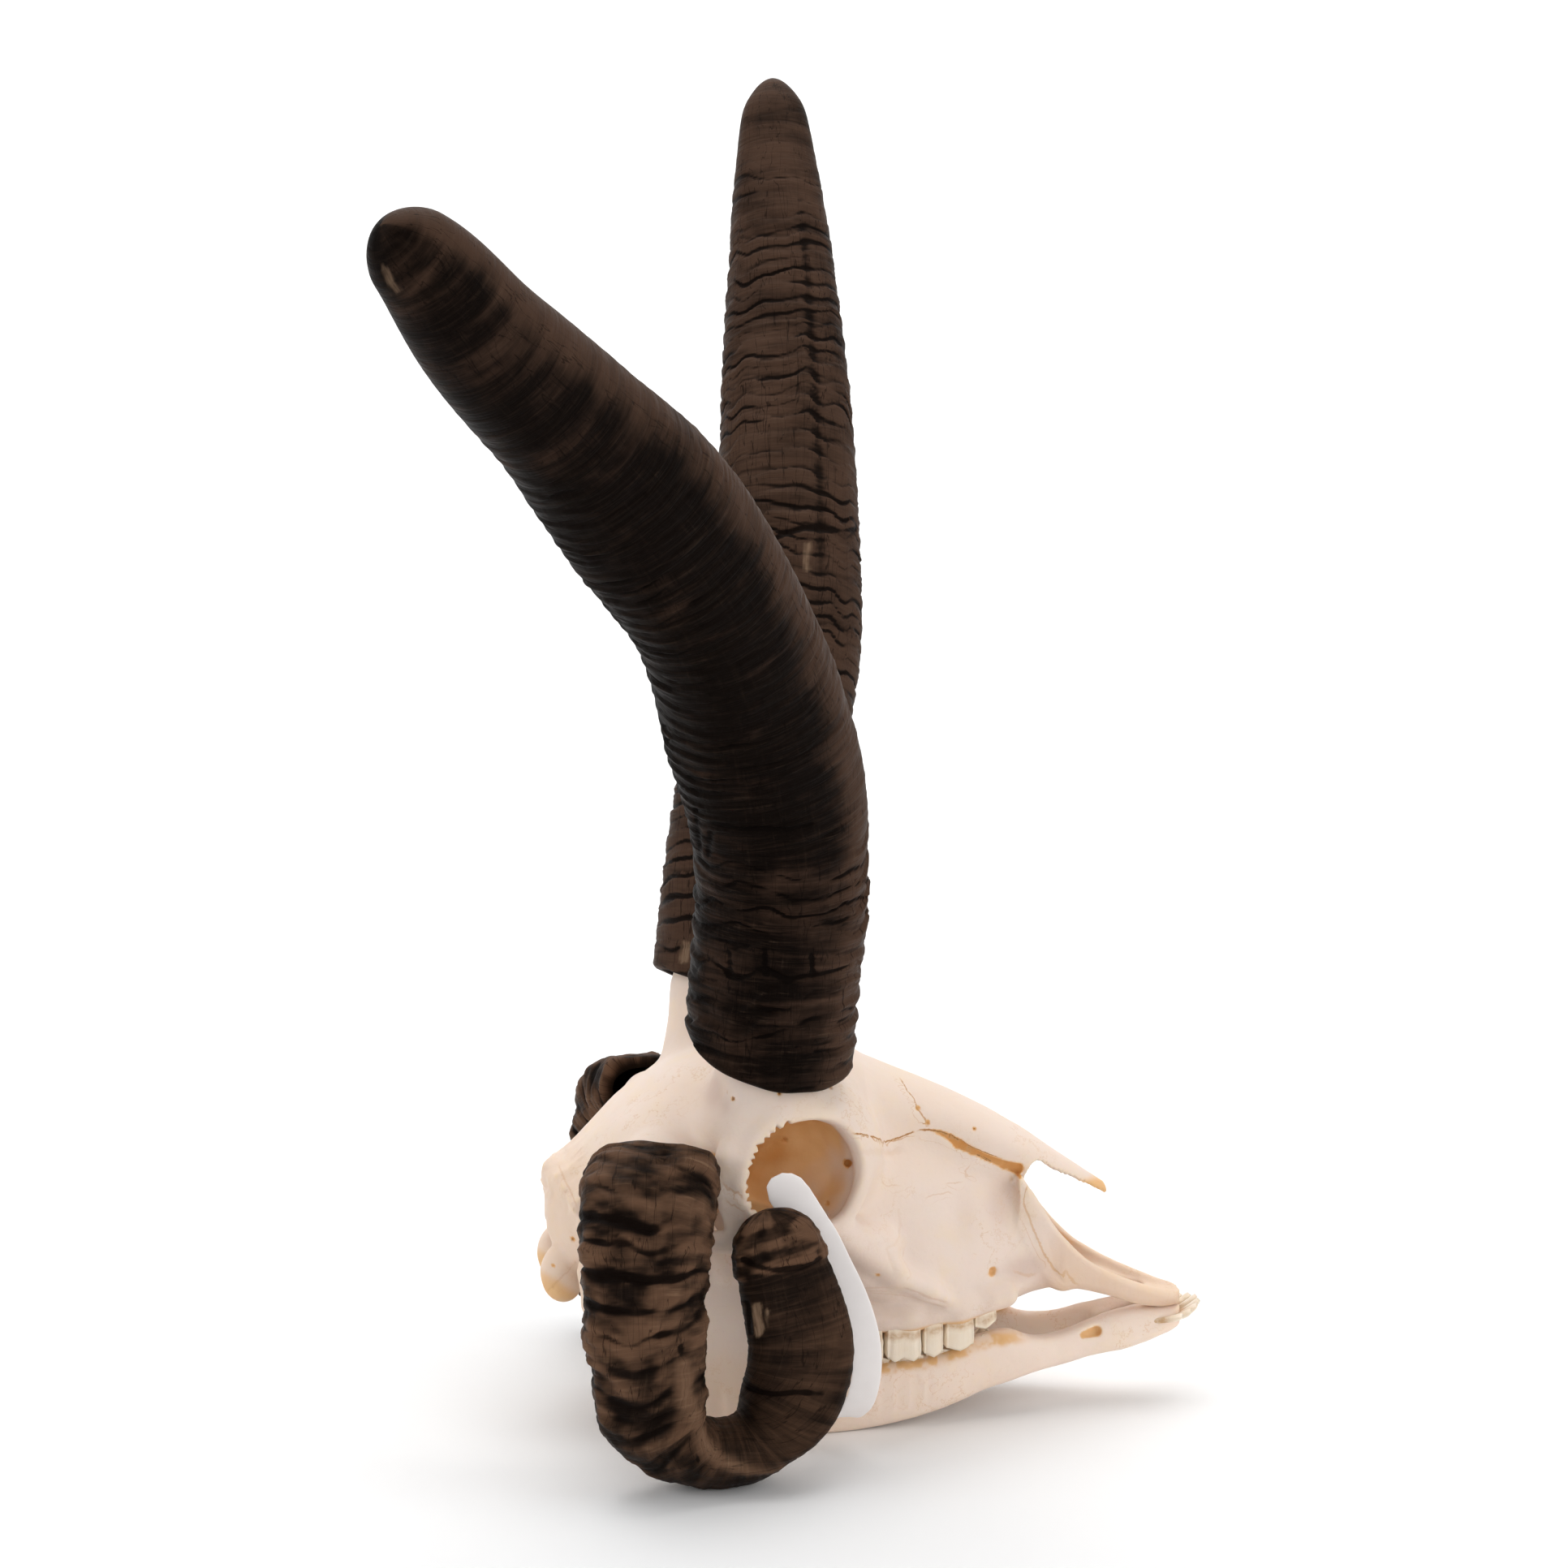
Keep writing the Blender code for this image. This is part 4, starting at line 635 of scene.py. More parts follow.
def read_field(field, low, high):
    """Field values on a grid, read a few layers at a time, the outermost layer held outside the body."""
    axes = [np.arange(low[k], high[k] + GRID, GRID).astype(np.float32) for k in range(3)]
    values = np.empty([len(a) for a in axes], np.float32)
    y, z = axes[1][None, :, None], axes[2][None, None, :]
    for first in range(0, len(axes[0]), 16):
        x = axes[0][first:first + 16, None, None]
        values[first:first + 16] = field((x, y, z))
    for axis in range(3):
        layers = np.moveaxis(values, axis, 0)
        layers[0] = np.maximum(layers[0], GRID)
        layers[-1] = np.maximum(layers[-1], GRID)
    return values


def mend_corners(values):
    """Fills grid squares whose inside points meet only across a diagonal, which would pinch the surface."""
    for _ in range(12):
        changed = False
        for a, b in ((0, 1), (0, 2), (1, 2)):
            v = np.moveaxis(values, (a, b), (0, 1))
            s = v < 0
            c00, c10, c01, c11 = s[:-1, :-1], s[1:, :-1], s[:-1, 1:], s[1:, 1:]
            one, other = c00 & c11 & ~c10 & ~c01, c10 & c01 & ~c00 & ~c11
            v[1:, :-1][one] = -0.05 * GRID
            v[:-1, :-1][other] = -0.05 * GRID
            changed = changed or bool(one.any() or other.any())
        if not changed:
            break
    return values


def net_surface(values, low):
    """Quads through the cells that the surface crosses, each point at the mean of its cell's crossings."""
    shape = np.array(values.shape)
    inside = values < 0
    cells, places, quads = [], [], []
    for axis in range(3):
        here = [slice(None)] * 3
        there = [slice(None)] * 3
        here[axis], there[axis] = slice(0, -1), slice(1, None)
        crossing = np.argwhere(inside[tuple(here)] != inside[tuple(there)])
        ahead = crossing.copy()
        ahead[:, axis] += 1
        v0, v1 = values[tuple(crossing.T)], values[tuple(ahead.T)]
        place = crossing.astype(float)
        place[:, axis] += v0 / (v0 - v1)
        b, c = (axis + 1) % 3, (axis + 2) % 3
        corner = []
        for db, dc in ((0, 0), (-1, 0), (-1, -1), (0, -1)):
            cell = crossing.copy()
            cell[:, b] += db
            cell[:, c] += dc
            corner.append(np.ravel_multi_index(tuple(cell.T), shape))
            cells.append(corner[-1])
            places.append(place)
        quad = np.stack(corner, axis=1)
        quads.append(np.where((v0 < 0)[:, None], quad, quad[:, ::-1]))
    ids, index = np.unique(np.concatenate(cells), return_inverse=True)
    places = np.concatenate(places)
    count = np.bincount(index)
    points = np.stack([np.bincount(index, places[:, k]) / count for k in range(3)], axis=1)
    faces = np.searchsorted(ids, np.concatenate(quads))
    return points * GRID + np.asarray(low), faces


# Meshes


def new_mesh(name, points, faces):
    """A smooth mesh. points are in the head's millimetres, and faces a list or an array of corners."""
    mesh = bpy.data.meshes.new(name)
    points = (np.asarray(points, float) - STAND) * MM
    if isinstance(faces, np.ndarray):
        mesh.vertices.add(len(points))
        mesh.vertices.foreach_set("co", points.astype(np.float32).ravel())
        mesh.loops.add(faces.size)
        mesh.loops.foreach_set("vertex_index", faces.astype(np.int32).ravel())
        mesh.polygons.add(len(faces))
        mesh.polygons.foreach_set("loop_start", np.arange(0, faces.size, faces.shape[1], dtype=np.int32))
        mesh.update(calc_edges=True)
    else:
        mesh.from_pydata(points.tolist(), [], faces)
    mesh.shade_smooth()
    return mesh


def mesh_points(mesh):
    """A mesh's points in the head's millimetres, and its normals."""
    count = len(mesh.vertices)
    points, normals = np.empty(count * 3, np.float32), np.empty(count * 3, np.float32)
    mesh.vertices.foreach_get("co", points)
    mesh.vertices.foreach_get("normal", normals)
    return points.reshape(-1, 3).astype(float) / MM + STAND, normals.reshape(-1, 3).astype(float)


def set_points(mesh, points):
    mesh.vertices.foreach_set("co", ((points - STAND) * MM).astype(np.float32).ravel())
    mesh.update()


def paint(mesh, **values):
    """Named numbers for each point, which the materials read."""
    for name, value in values.items():
        if np.ndim(value) == 2:
            layer = mesh.attributes.new(name, "FLOAT_VECTOR", "POINT")
            layer.data.foreach_set("vector", value.astype(np.float32).ravel())
        else:
            value = np.broadcast_to(value, len(mesh.vertices)).astype(np.float32)
            mesh.attributes.new(name, "FLOAT", "POINT").data.foreach_set("value", value)


def add_object(name, data):
    obj = bpy.data.objects.new(name, data)
    bpy.context.scene.collection.objects.link(obj)
    return obj


def place(name, mesh, material, node, slot):
    """Puts a finished mesh in the scene in the place of a CAD node."""
    mesh.materials.append(material)
    obj = add_object(name, mesh)
    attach(obj, "root")
    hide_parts(node)


def thinned(mesh, triangles):
    """The mesh with about this many triangles."""
    total = sum(len(p.vertices) - 2 for p in mesh.polygons)
    if total <= triangles:
        return mesh
    holder = add_object("holder", mesh)
    holder.modifiers.new("thin", "DECIMATE").ratio = triangles / total
    graph = bpy.context.evaluated_depsgraph_get()
    made = bpy.data.meshes.new_from_object(holder.evaluated_get(graph))
    bpy.data.objects.remove(holder)
    made.shade_smooth()
    return made


def curvature(mesh, points, normals):
    """How far each point stands out from its neighbours: above 0 on edges, below 0 in creases."""
    ends = np.empty(len(mesh.edges) * 2, np.int32)
    mesh.edges.foreach_get("vertices", ends)
    a, b = ends.reshape(-1, 2).T
    gap = points[a] - points[b]
    gap /= np.linalg.norm(gap, axis=1)[:, None] + 1e-6
    count = len(points)
    number = np.maximum(np.bincount(a, minlength=count) + np.bincount(b, minlength=count), 1)
    out = np.bincount(a, (gap * normals[a]).sum(1), count) - np.bincount(b, (gap * normals[b]).sum(1), count)
    value = out / number
    for _ in range(2):
        spread = np.bincount(a, value[b], count) + np.bincount(b, value[a], count)
        value = 0.4 * value + 0.6 * spread / number
    return value


# Materials


class Nodes:
    """Short ways to add shader nodes to a new material."""

    def __init__(self, name):
        self.material = bpy.data.materials.new(name)
        self.material.use_nodes = True
        self.tree = self.material.node_tree
        self.shader = self.tree.nodes["Principled BSDF"]
        self.place = self.add("TexCoord").outputs["Object"]

    def add(self, kind, inputs=None, **settings):
        node = self.tree.nodes.new("ShaderNode" + kind)
        for key, value in settings.items():
            setattr(node, key, value)
        for key, value in (inputs or {}).items():
            self.put(node.inputs[key], value)
        return node

    def put(self, socket, value):
        if isinstance(value, bpy.types.NodeSocket):
            self.tree.links.new(value, socket)
        else:
            socket.default_value = value

    def attribute(self, name, output="Fac"):
        return self.add("Attribute", attribute_name=name).outputs[output]

    def stretch(self, vector, scale):
        return self.add("VectorMath", {0: vector, 1: scale}, operation="MULTIPLY").outputs[0]

    def noise(self, vector, scale, detail=4.0, roughness=0.55, distortion=0.0):
        inputs = {"Vector": vector, "Scale": scale, "Detail": detail, "Roughness": roughness}
        return self.add("TexNoise", {**inputs, "Distortion": distortion}).outputs["Fac"]

    def step(self, value, low, high, bottom=0.0, top=1.0):
        inputs = {"Value": value, "From Min": low, "From Max": high, "To Min": bottom, "To Max": top}
        return self.add("MapRange", inputs, interpolation_type="SMOOTHSTEP").outputs[0]

    def math(self, operation, a, b=0.0):
        return self.add("Math", {0: a, 1: b}, operation=operation).outputs[0]

    def mix(self, factor, a, b):
        a = (*a, 1.0) if isinstance(a, tuple) else a
        b = (*b, 1.0) if isinstance(b, tuple) else b
        return self.add("Mix", {0: factor, 6: a, 7: b}, data_type="RGBA").outputs[2]

    def coats(self, colour, *coats):
        """The colour under further ones, each with the share to which it covers."""
        for share, coat in coats:
            colour = self.mix(share, colour, coat)
        return colour

    def near(self, value, target, low, high, top=1.0):
        """A thin line where a value passes the target."""
        away = self.math("ABSOLUTE", self.math("SUBTRACT", value, target))
        return self.step(away, low, high, 0.0, top)

    def bump(self, height, strength, distance, normal=None):
        inputs = {"Height": height, "Strength": strength, "Distance": distance}
        if normal is not None:
            inputs["Normal"] = normal
        return self.add("Bump", inputs).outputs[0]

    def finished(self, colour, roughness, normal, glow=None):
        """The material with these values. glow: weight, radius and scale of light under the surface."""
        for key, value in (("Base Color", colour), ("Roughness", roughness), ("Normal", normal)):
            self.put(self.shader.inputs[key], value)
        for key, value in zip(("Weight", "Radius", "Scale"), glow or ()):
            self.shader.inputs["Subsurface " + key].default_value = value
        return self.material


def bone_material(name, light):
    """Dry bone with tan patches, veins, stains and sutures, and painted shade in hollows, creases and
    cavities and on faces turned down. light scales its clean colour, so that a copy is painted lighter, as
    if better lit.
    """
    m = Nodes(name)
    warm, crease, seam, dull = [m.attribute(key) for key in ("warm", "crease", "seam", "dull")]
    patch = m.noise(m.place, 70, 5, 0.6)
    fibre = m.noise(m.stretch(m.place, (70, 420, 420)), 1.0, 4, 0.6, 0.4)
    pore = m.noise(m.place, 1500, 2, 0.5)
    vein = m.near(m.noise(m.place, 75, 5, 0.68), 0.5, 0.014, 0.002)
    vein = m.math("MULTIPLY", vein, m.step(m.noise(m.place, 26, 3), 0.52, 0.66, 0, 0.55))
    colour = m.mix(m.step(m.noise(m.place, 22, 3), 0.3, 0.7), (0.80, 0.662, 0.575), (0.79, 0.638, 0.53))
    colour = m.coats(
        colour,
        (m.step(patch, 0.48, 0.72, 0, 0.55), (0.81, 0.65, 0.49)),
        (m.step(m.noise(m.place, 120, 5, 0.65), 0.58, 0.78, 0, 0.3), (0.74, 0.58, 0.485)),
        (m.step(fibre, 0.55, 0.8, 0, 0.10), (0.74, 0.56, 0.43)),
        # Edges warmer; creases darker, as painted shade
        (m.step(crease, 0.03, 0.16, 0, 0.65), (0.83, 0.67, 0.48)),
        (m.step(crease, -0.04, -0.2, 0, 0.7), (0.66, 0.43, 0.25)),
        # Painted shade in hollows, on faces turned down and low on the face
        (m.step(dull, 0.1, 1.0, 0, 0.6), (0.60, 0.44, 0.37)),
        (vein, (0.66, 0.44, 0.27)),
    )
    stain = m.math("MULTIPLY", warm, m.step(patch, 0.2, 0.7, 0.85, 1.0))
    wobble = m.math("MULTIPLY", m.math("SUBTRACT", m.noise(m.place, 900, 3, 0.6), 0.5), 3.0)
    side = m.math("ADD", m.attribute("seam_side"), wobble)
    line = m.math("MULTIPLY", m.near(side, 0.0, 1.5, 0.5), seam)
    core = m.math("MULTIPLY", m.near(side, 0.0, 0.8, 0.2), m.step(seam, 0.55, 1.0, 0, 0.8))
    colour = m.coats(
        # light above 1 paints this copy lighter, as if better lit
        m.stretch(colour, (light, light, light)),
        # Orange: stains, and painted shade and glow in sockets, cavities, holes and under overhangs
        (m.step(stain, 0.0, 0.55), (0.76, 0.46, 0.215)),
        (m.step(stain, 0.5, 1.0), (0.60, 0.27, 0.075)),
        (line, (0.60, 0.335, 0.14)),
        (core, (0.30, 0.12, 0.03)),
        (m.step(pore, 0.68, 0.8, 0, 0.2), (0.46, 0.30, 0.18)),
    )
    m.shader.inputs["Specular IOR Level"].default_value = 0.3
    normal = m.bump(patch, 0.3, 0.0014)
    normal = m.bump(m.noise(m.place, 340, 5, 0.6), 0.3, 0.0006, normal)
    normal = m.bump(m.math("SUBTRACT", fibre, m.step(pore, 0.66, 0.8)), 0.25, 0.0003, normal)
    normal = m.bump(m.math("ADD", line, vein), -0.6, 0.0006, normal)
    return m.finished(colour, m.step(patch, 0.3, 0.8, 0.58, 0.72), normal, (0.15, (1.0, 0.5, 0.25), 0.003))


def tooth_material():
    """Ivory enamel, stained at the gum and dark where it is worn."""
    m = Nodes("enamel")
    cloud = m.noise(m.place, 140, 4)
    streak = m.noise(m.stretch(m.place, (1500, 1500, 120)), 1.0, 3, 0.6)
    dirt = m.math("MULTIPLY", m.attribute("stain"), m.step(m.noise(m.place, 500, 4), 0.3, 0.65, 0.35, 1))
    colour = m.coats(
        m.mix(m.step(cloud, 0.3, 0.7), (0.86, 0.75, 0.61), (0.83, 0.70, 0.54)),
        (m.step(streak, 0.5, 0.8, 0, 0.22), (0.70, 0.54, 0.38)),
        (dirt, (0.52, 0.30, 0.13)),
        (m.math("MULTIPLY", m.attribute("wear"), 0.8), (0.30, 0.17, 0.08)),
    )
    normal = m.bump(m.noise(m.place, 900, 3), 0.2, 0.0003, m.bump(streak, 0.25, 0.0003))
    return m.finished(colour, m.step(cloud, 0.3, 0.8, 0.28, 0.5), normal, (0.1, (1.0, 0.6, 0.35), 0.002))


def horn_material(name, dark, brown, pale, shares):
    """Keratin. grain holds each point's place along, across and round the straightened horn, in metres.
    shares: strength of the patches, and of the rubbed rings and fibres, paler as wear and partly as a
    painted highlight."""
    m = Nodes(name)
    grain = m.attribute("grain", "Vector")
    ridge, bare, tone = [m.attribute(key) for key in ("ridge", "bare", "tone")]
    rings = m.noise(m.stretch(grain, (900, 60, 60)), 1.0, 5, 0.62, 0.5)
    bands = m.noise(m.stretch(grain, (170, 20, 20)), 1.0, 4, 0.6, 0.8)
    fibre = m.noise(m.stretch(grain, (45, 900, 900)), 1.0, 4, 0.6)
    hair = m.noise(m.stretch(grain, (30, 340, 340)), 1.0, 2, 0.5, 0.3)
    patch = m.noise(grain, 42, 4, 0.6)
    spread = m.math("ADD", m.math("SUBTRACT", bands, 0.5), m.math("SUBTRACT", patch, 0.5))
    base = m.step(m.math("ADD", tone, m.math("MULTIPLY", spread, shares[0])), 0.1, 0.9)
    rub = m.math("MULTIPLY", m.step(ridge, 0.0, 0.8, 0.15, 1.0), m.step(tone, 0.0, 0.8, 0.45, 1.0))
    thread = m.near(hair, 0.5, 0.012, 0.003, 0.6)
    colour = m.coats(
        m.mix(base, dark, brown),
        # Pale on raised rings and fibres: rubbed wear, and partly a painted highlight
        (m.math("MULTIPLY", rub, m.step(rings, 0.48, 0.72, 0, shares[1])), pale),
        (m.math("MULTIPLY", rub, m.step(fibre, 0.52, 0.78, 0, shares[2])), pale),
        # Painted shade: darker where the ridge mark is below 0, in grooves, cracks and the socket
        (m.step(ridge, -0.12, -0.6, 0, 0.92), (dark[0] * 0.45, dark[1] * 0.4, dark[2] * 0.4)),
        (thread, (dark[0] * 0.5, dark[1] * 0.45, dark[2] * 0.45)),
        (m.math("MULTIPLY", bare, m.step(fibre, 0.3, 0.65, 0.35, 1)), (0.30, 0.195, 0.125)),
    )
    m.shader.inputs["Specular IOR Level"].default_value = 0.035
    m.shader.inputs["Specular Tint"].default_value = (1.0, 0.84, 0.72, 1.0)
    normal = m.bump(rings, 0.5, 0.0007, m.bump(bands, 0.4, 0.0010))
    normal = m.bump(thread, -0.5, 0.0003, m.bump(fibre, 0.3, 0.0003, normal))
    return m.finished(colour, m.step(rings, 0.3, 0.75, 0.40, 0.62), normal)


def strap_material():
    """White plastic."""
    m = Nodes("strap")
    cloud = m.noise(m.place, 220, 3)
    colour = m.mix(m.step(cloud, 0.3, 0.7), (0.97, 0.915, 0.895), (0.955, 0.90, 0.88))
    normal = m.bump(m.noise(m.place, 2600, 2), 0.12, 0.0001)
    return m.finished(colour, m.step(cloud, 0.3, 0.7, 0.34, 0.46), normal, (0.1, (1.0, 1.0, 1.0), 0.001))


# Bones


def bone_mesh(name, field, low, high, triangles, details=None):
    """The surface of a bone field, thinned."""
    values = read_field(field, low, high)
    if details:
        details(values)
    values = mend_corners(values)
    points, faces = net_surface(values, low)
    return thinned(new_mesh(name, points, faces), triangles)


def orbit_place(q):
    """Place across and up in the eye socket, distance from its middle as a share of the radius, depth."""
    u, v, w = orbit_frame(q)
    return u, v, np.hypot(u / ORBIT_RADIUS[0], v / ORBIT_RADIUS[1]), w


def near_line(q, m, knots):
    """Distance from a line drawn on the bone, to the left of it above 0, and how far inside its ends."""
    knots = np.array(knots, float)
    parts = np.linalg.norm(np.diff(knots, axis=0), axis=1)
    start = np.concatenate([[0], np.cumsum(parts)])
    best, signed, inside = np.full(len(q), 99.0), np.full(len(q), 99.0), np.zeros(len(q))
    for k in range(len(parts)):
        d = (knots[k + 1] - knots[k]) / parts[k]
        t = (q - knots[k]) @ d
        low = -9.0 if k == 0 else 0.0
        high = parts[k] + 9.0 if k == len(parts) - 1 else parts[k]
        away = q - (knots[k] + np.clip(t, 0, parts[k])[:, None] * d)
        off = (away * m).sum(1)
        away = away - m * off[:, None]
        far = np.linalg.norm(away, axis=1) + np.maximum(np.abs(off) - 5, 0)
        side = np.sign((np.cross(d, m) * away).sum(1))
        along = start[k] + np.clip(t, low, high)
        closer = far < best
        best = np.where(closer, far, best)
        signed = np.where(closer, far * side, signed)
        inside = np.where(closer, np.minimum(along, start[-1] - along), inside)
    return signed, inside


def seams(p, n, table):
    """For each point: distance from the nearest seam in half widths, its darkness, and the bone's lift."""
    mirror = np.where(p[:, 1:2] < 0, (1, -1, 1), (1, 1, 1))
    q, m = p * mirror, n * mirror
    side, dark, lift = np.full(len(p), 9.0), np.zeros(len(p)), np.zeros(len(p))
    wander = layered(q, 3.0, 51, 2) * 0.35
    for width, darkness, depth, lap, knots in table:
        far, inside = near_line(q, m, knots)
        far = far + wander
        shown = step(inside, 0.0, 2.5)
        lift -= depth * shown * np.exp(-(far / (width + 0.5)) ** 2)
        lift += lap * shown * step(far, -0.5, 0.5) * np.exp(-(far / 5) ** 2)
        nearer = np.abs(far / width) < np.abs(side)
        side = np.where(nearer, far / width, side)
        dark = np.where(nearer, darkness * step(inside, -0.6, 2.0), dark)
    return np.clip(side, -9, 9), dark, lift


def hollows(q):
    """How deep each point lies in the hollows, as a share, which darkens them as painted shade, and in
    millimetres.
    """
    share, depth = np.zeros(len(q)), np.zeros(len(q))
    for middle, radii, deep in HOLLOWS:
        inside = np.exp(-(((q - middle) / radii) ** 2).sum(1))
        share = np.maximum(share, inside * min(deep, 1))
        depth += inside * deep
    return share, depth


def cranium_warmth(p):
    """Orange where the bone is stained, and painted shade and glow in hollows and under overhangs: eye
    sockets, nose, under the arches, gums.
    """
    q = xyz(p)
    x, y, z = q
    u, v, share, depth = orbit_place(q)
    # Painted shade: the socket is more orange and darker towards its upper back
    socket = 0.80 - 0.46 * step(u - v, -4, 22) + 0.2 * layered(p, 9, 83, 2)
    gum = table_curves(x, UPPER_ROW, (2,))[0]
    condyle = step(ellipsoid(q, (-82, 13.5, 55), (9.5, 9, 9)), 1.0, -1.5)
    warm = np.maximum.reduce([
        socket * step(share, 0.97, 0.88) * step(depth, 1.0, -4) * step(depth, -60, -40),
        step(nose_cavity(q), 0.4, -0.6) * step(x, 60, 66) * 0.9,
        # Painted shade and glow under the arches
        step(ellipsoid(q, (-39, 56, 86), (22, 19, 26)), 1.5, -0.5) * step(y, 60, 52) * 0.9,
        step(np.abs(z - gum), 2.6, 0.2) * step(x, 80, 76) * step(y, 14, 20) * 0.5,
        step(nasal_gap(p), 0.75, 0.1) * step(x, 50, 54) * 0.95,
        # Painted shade under the tip of the nasal bone
        step(x, 92, 104) * step(z, 86.5, 82.5) * step(z, 70, 74) * 0.55,
        condyle * step(z + x, -22, -31) * 0.5,
        step(x, -66, -80) * 0.16 + step(x, 84, 100) * step(z, 78, 60) * 0.2,
        # Painted shade and glow behind and below the eye, under the lower horn
        step(z, 88, 70) * step(x, -20, -34) * step(x, -72, -60) * 0.22,
    ])
    for middle, radius, strength in [*((*hole, 0.95) for hole in HOLES), CHEEK_STAIN]:
        far = np.linalg.norm((p - middle) * (1, 0.6, 1), axis=1)
        warm = np.maximum(warm, step(far, radius + 0.5, radius - 0.1) * strength)
    return np.clip(warm, 0, 1)


def bone_relief(p):
    """Small swellings and pits that every bone has, in millimetres."""
    return layered(p, 14, 3, 3) * 0.4 + layered(p, 3.6, 11, 2) * 0.08


def make_cranium(material):
    size = (GRID_LOW, (154, 90, 200), CRANIUM_TRIANGLES)
    mesh = bone_mesh("cranium", cranium_field, *size, cranium_details)
    p, n = mesh_points(mesh)
    rough = step(p[:, 0], -66, -80) * step(p[:, 2], 76, 84)
    side, dark, lift = seams(p, n, SEAMS)
    share, depth = hollows(on_left(p))
    # Painted shade: darker on faces turned down, most under the front of the face, and in patches low on the
    # face
    under = 0.5 * step(n[:, 2], 0.1, -0.7) + 0.75 * step(p[:, 0], 84, 100) * step(n[:, 2], 0.55, -0.3)
    low = 0.5 * step(p[:, 2], 60, 47) * step(p[:, 0], 92, 80) * step(layered(p, 9, 71, 3), -0.6, 0.3)
    _, _, inner, deep = orbit_place(xyz(on_left(p)))
    socket = step(inner, 0.95, 0.8) * step(deep, -4, -9)
    lift = lift + bone_relief(p) + rough * layered(p, 3.2, 21, 2) * 1.1 - depth
    lift = lift + socket * layered(p, 11, 81, 3) * 1.6
    set_points(mesh, p + n * lift[:, None])
    p, n = mesh_points(mesh)
    paint(mesh, warm=cranium_warmth(on_left(p)), crease=curvature(mesh, p, n), seam=dark, seam_side=side)
    paint(mesh, dull=np.maximum.reduce([share, under, low]))
    place("cranium_bone", mesh, material, "cranium", "bone")


def make_jaws(material):
    made = bone_mesh("jaw", jaw_field, (-56, -4, -6), (154, 62, 104), JAW_TRIANGLES)
    for side, name in ((1, "left"), (-1, "right")):
        mesh = made.copy()
        if side < 0:
            mesh.transform(Matrix.Translation((0, -2 * STAND[1] * MM, 0)) @ Matrix.Diagonal((1, -1, 1, 1)))
            mesh.flip_normals()
        p, n = mesh_points(mesh)
        p = p + n * (bone_relief(p) * step(p[:, 2], 0.3, 3.0))[:, None]
        p[:, 2] = np.maximum(p[:, 2], 0.0)
        set_points(mesh, p)
        p, n = mesh_points(mesh)
        x, _, z = xyz(p)
        gum = table_curves(x, LOWER_ROW, (2,))[0]
        # Orange marks: painted shadow under the upper teeth, ragged like a stain, painted shade low at the
        # back, and orange in the nerve hole and at the gum's front edge
        ragged = step(layered(p, 3.0, 61, 3), -0.35, 0.3)
        row = step(np.abs(z - gum + 1.6), 4.0, 0.3) * step(x, 96, 74) * step(x, -16, -6)
        row = row * (0.35 + 0.65 * ragged)
        hole = step(rod(xyz(on_left(p)), *JAW_HOLE), 0.5, -0.1)
        back = step(x, -2, -16) * step(z, 46, 26) * 0.18
        edge = step(z - gum, -2.0, 1.0) * step(x, 66, 74) * step(x, 112, 88)
        edge = edge * 0.22 * ragged * step(z, 24, 27)
        warm = np.maximum.reduce([row * 0.7, hole * 0.75, back, edge])
        paint(mesh, warm=warm, crease=curvature(mesh, p, n), seam=0, seam_side=1, dull=0)
        place(name + "_jaw_bone", mesh, material, name + "_jaw", "bone")


# Teeth


def flipped(faces):
    return [tuple(reversed(face)) for face in faces]


def closed_rings(rings, start=None, end=None):
    """A closed skin over rings of points, given as an array (row, round, 3), with one point at each end."""
    rows, count = rings.shape[:2]
    start = rings[0].mean(0) if start is None else start
    end = rings[-1].mean(0) if end is None else end
    points = np.concatenate([[start], rings.reshape(-1, 3), [end]])
    k = np.arange(count)
    after = (k + 1) % count
    faces = []
    for a in range(1, (rows - 1) * count, count):
        b = a + count
        faces.append(np.stack([a + k, a + after, b + after, b + k], axis=1))
    last = len(points) - 1
    caps = [(0, 1 + after[j], 1 + j) for j in range(count)]
    caps += [(last, last - count + j, last - count + after[j]) for j in range(count)]
    return points, outward(points, [tuple(f) for f in np.concatenate(faces).tolist()] + caps)


def skin(centre, wide, deep, half, across, upwards):
    """Rings round the middle points: half sizes, and shares of them that each point reaches."""
    return centre + wide * (half[..., :1] * across[:, None]) + deep * (half[..., 1:] * upwards[:, None])


def outward(points, faces):
    total = 0.0
    for face in faces:
        for k in range(1, len(face) - 1):
            total += np.dot(points[face[0]], np.cross(points[face[k]], points[face[k + 1]]))
    return faces if total > 0 else flipped(faces)


def bite_height(x, y):
    return table_curves(x, BITE, (1,))[0] + (BITE_SIDE - y) * BITE_SLOPE


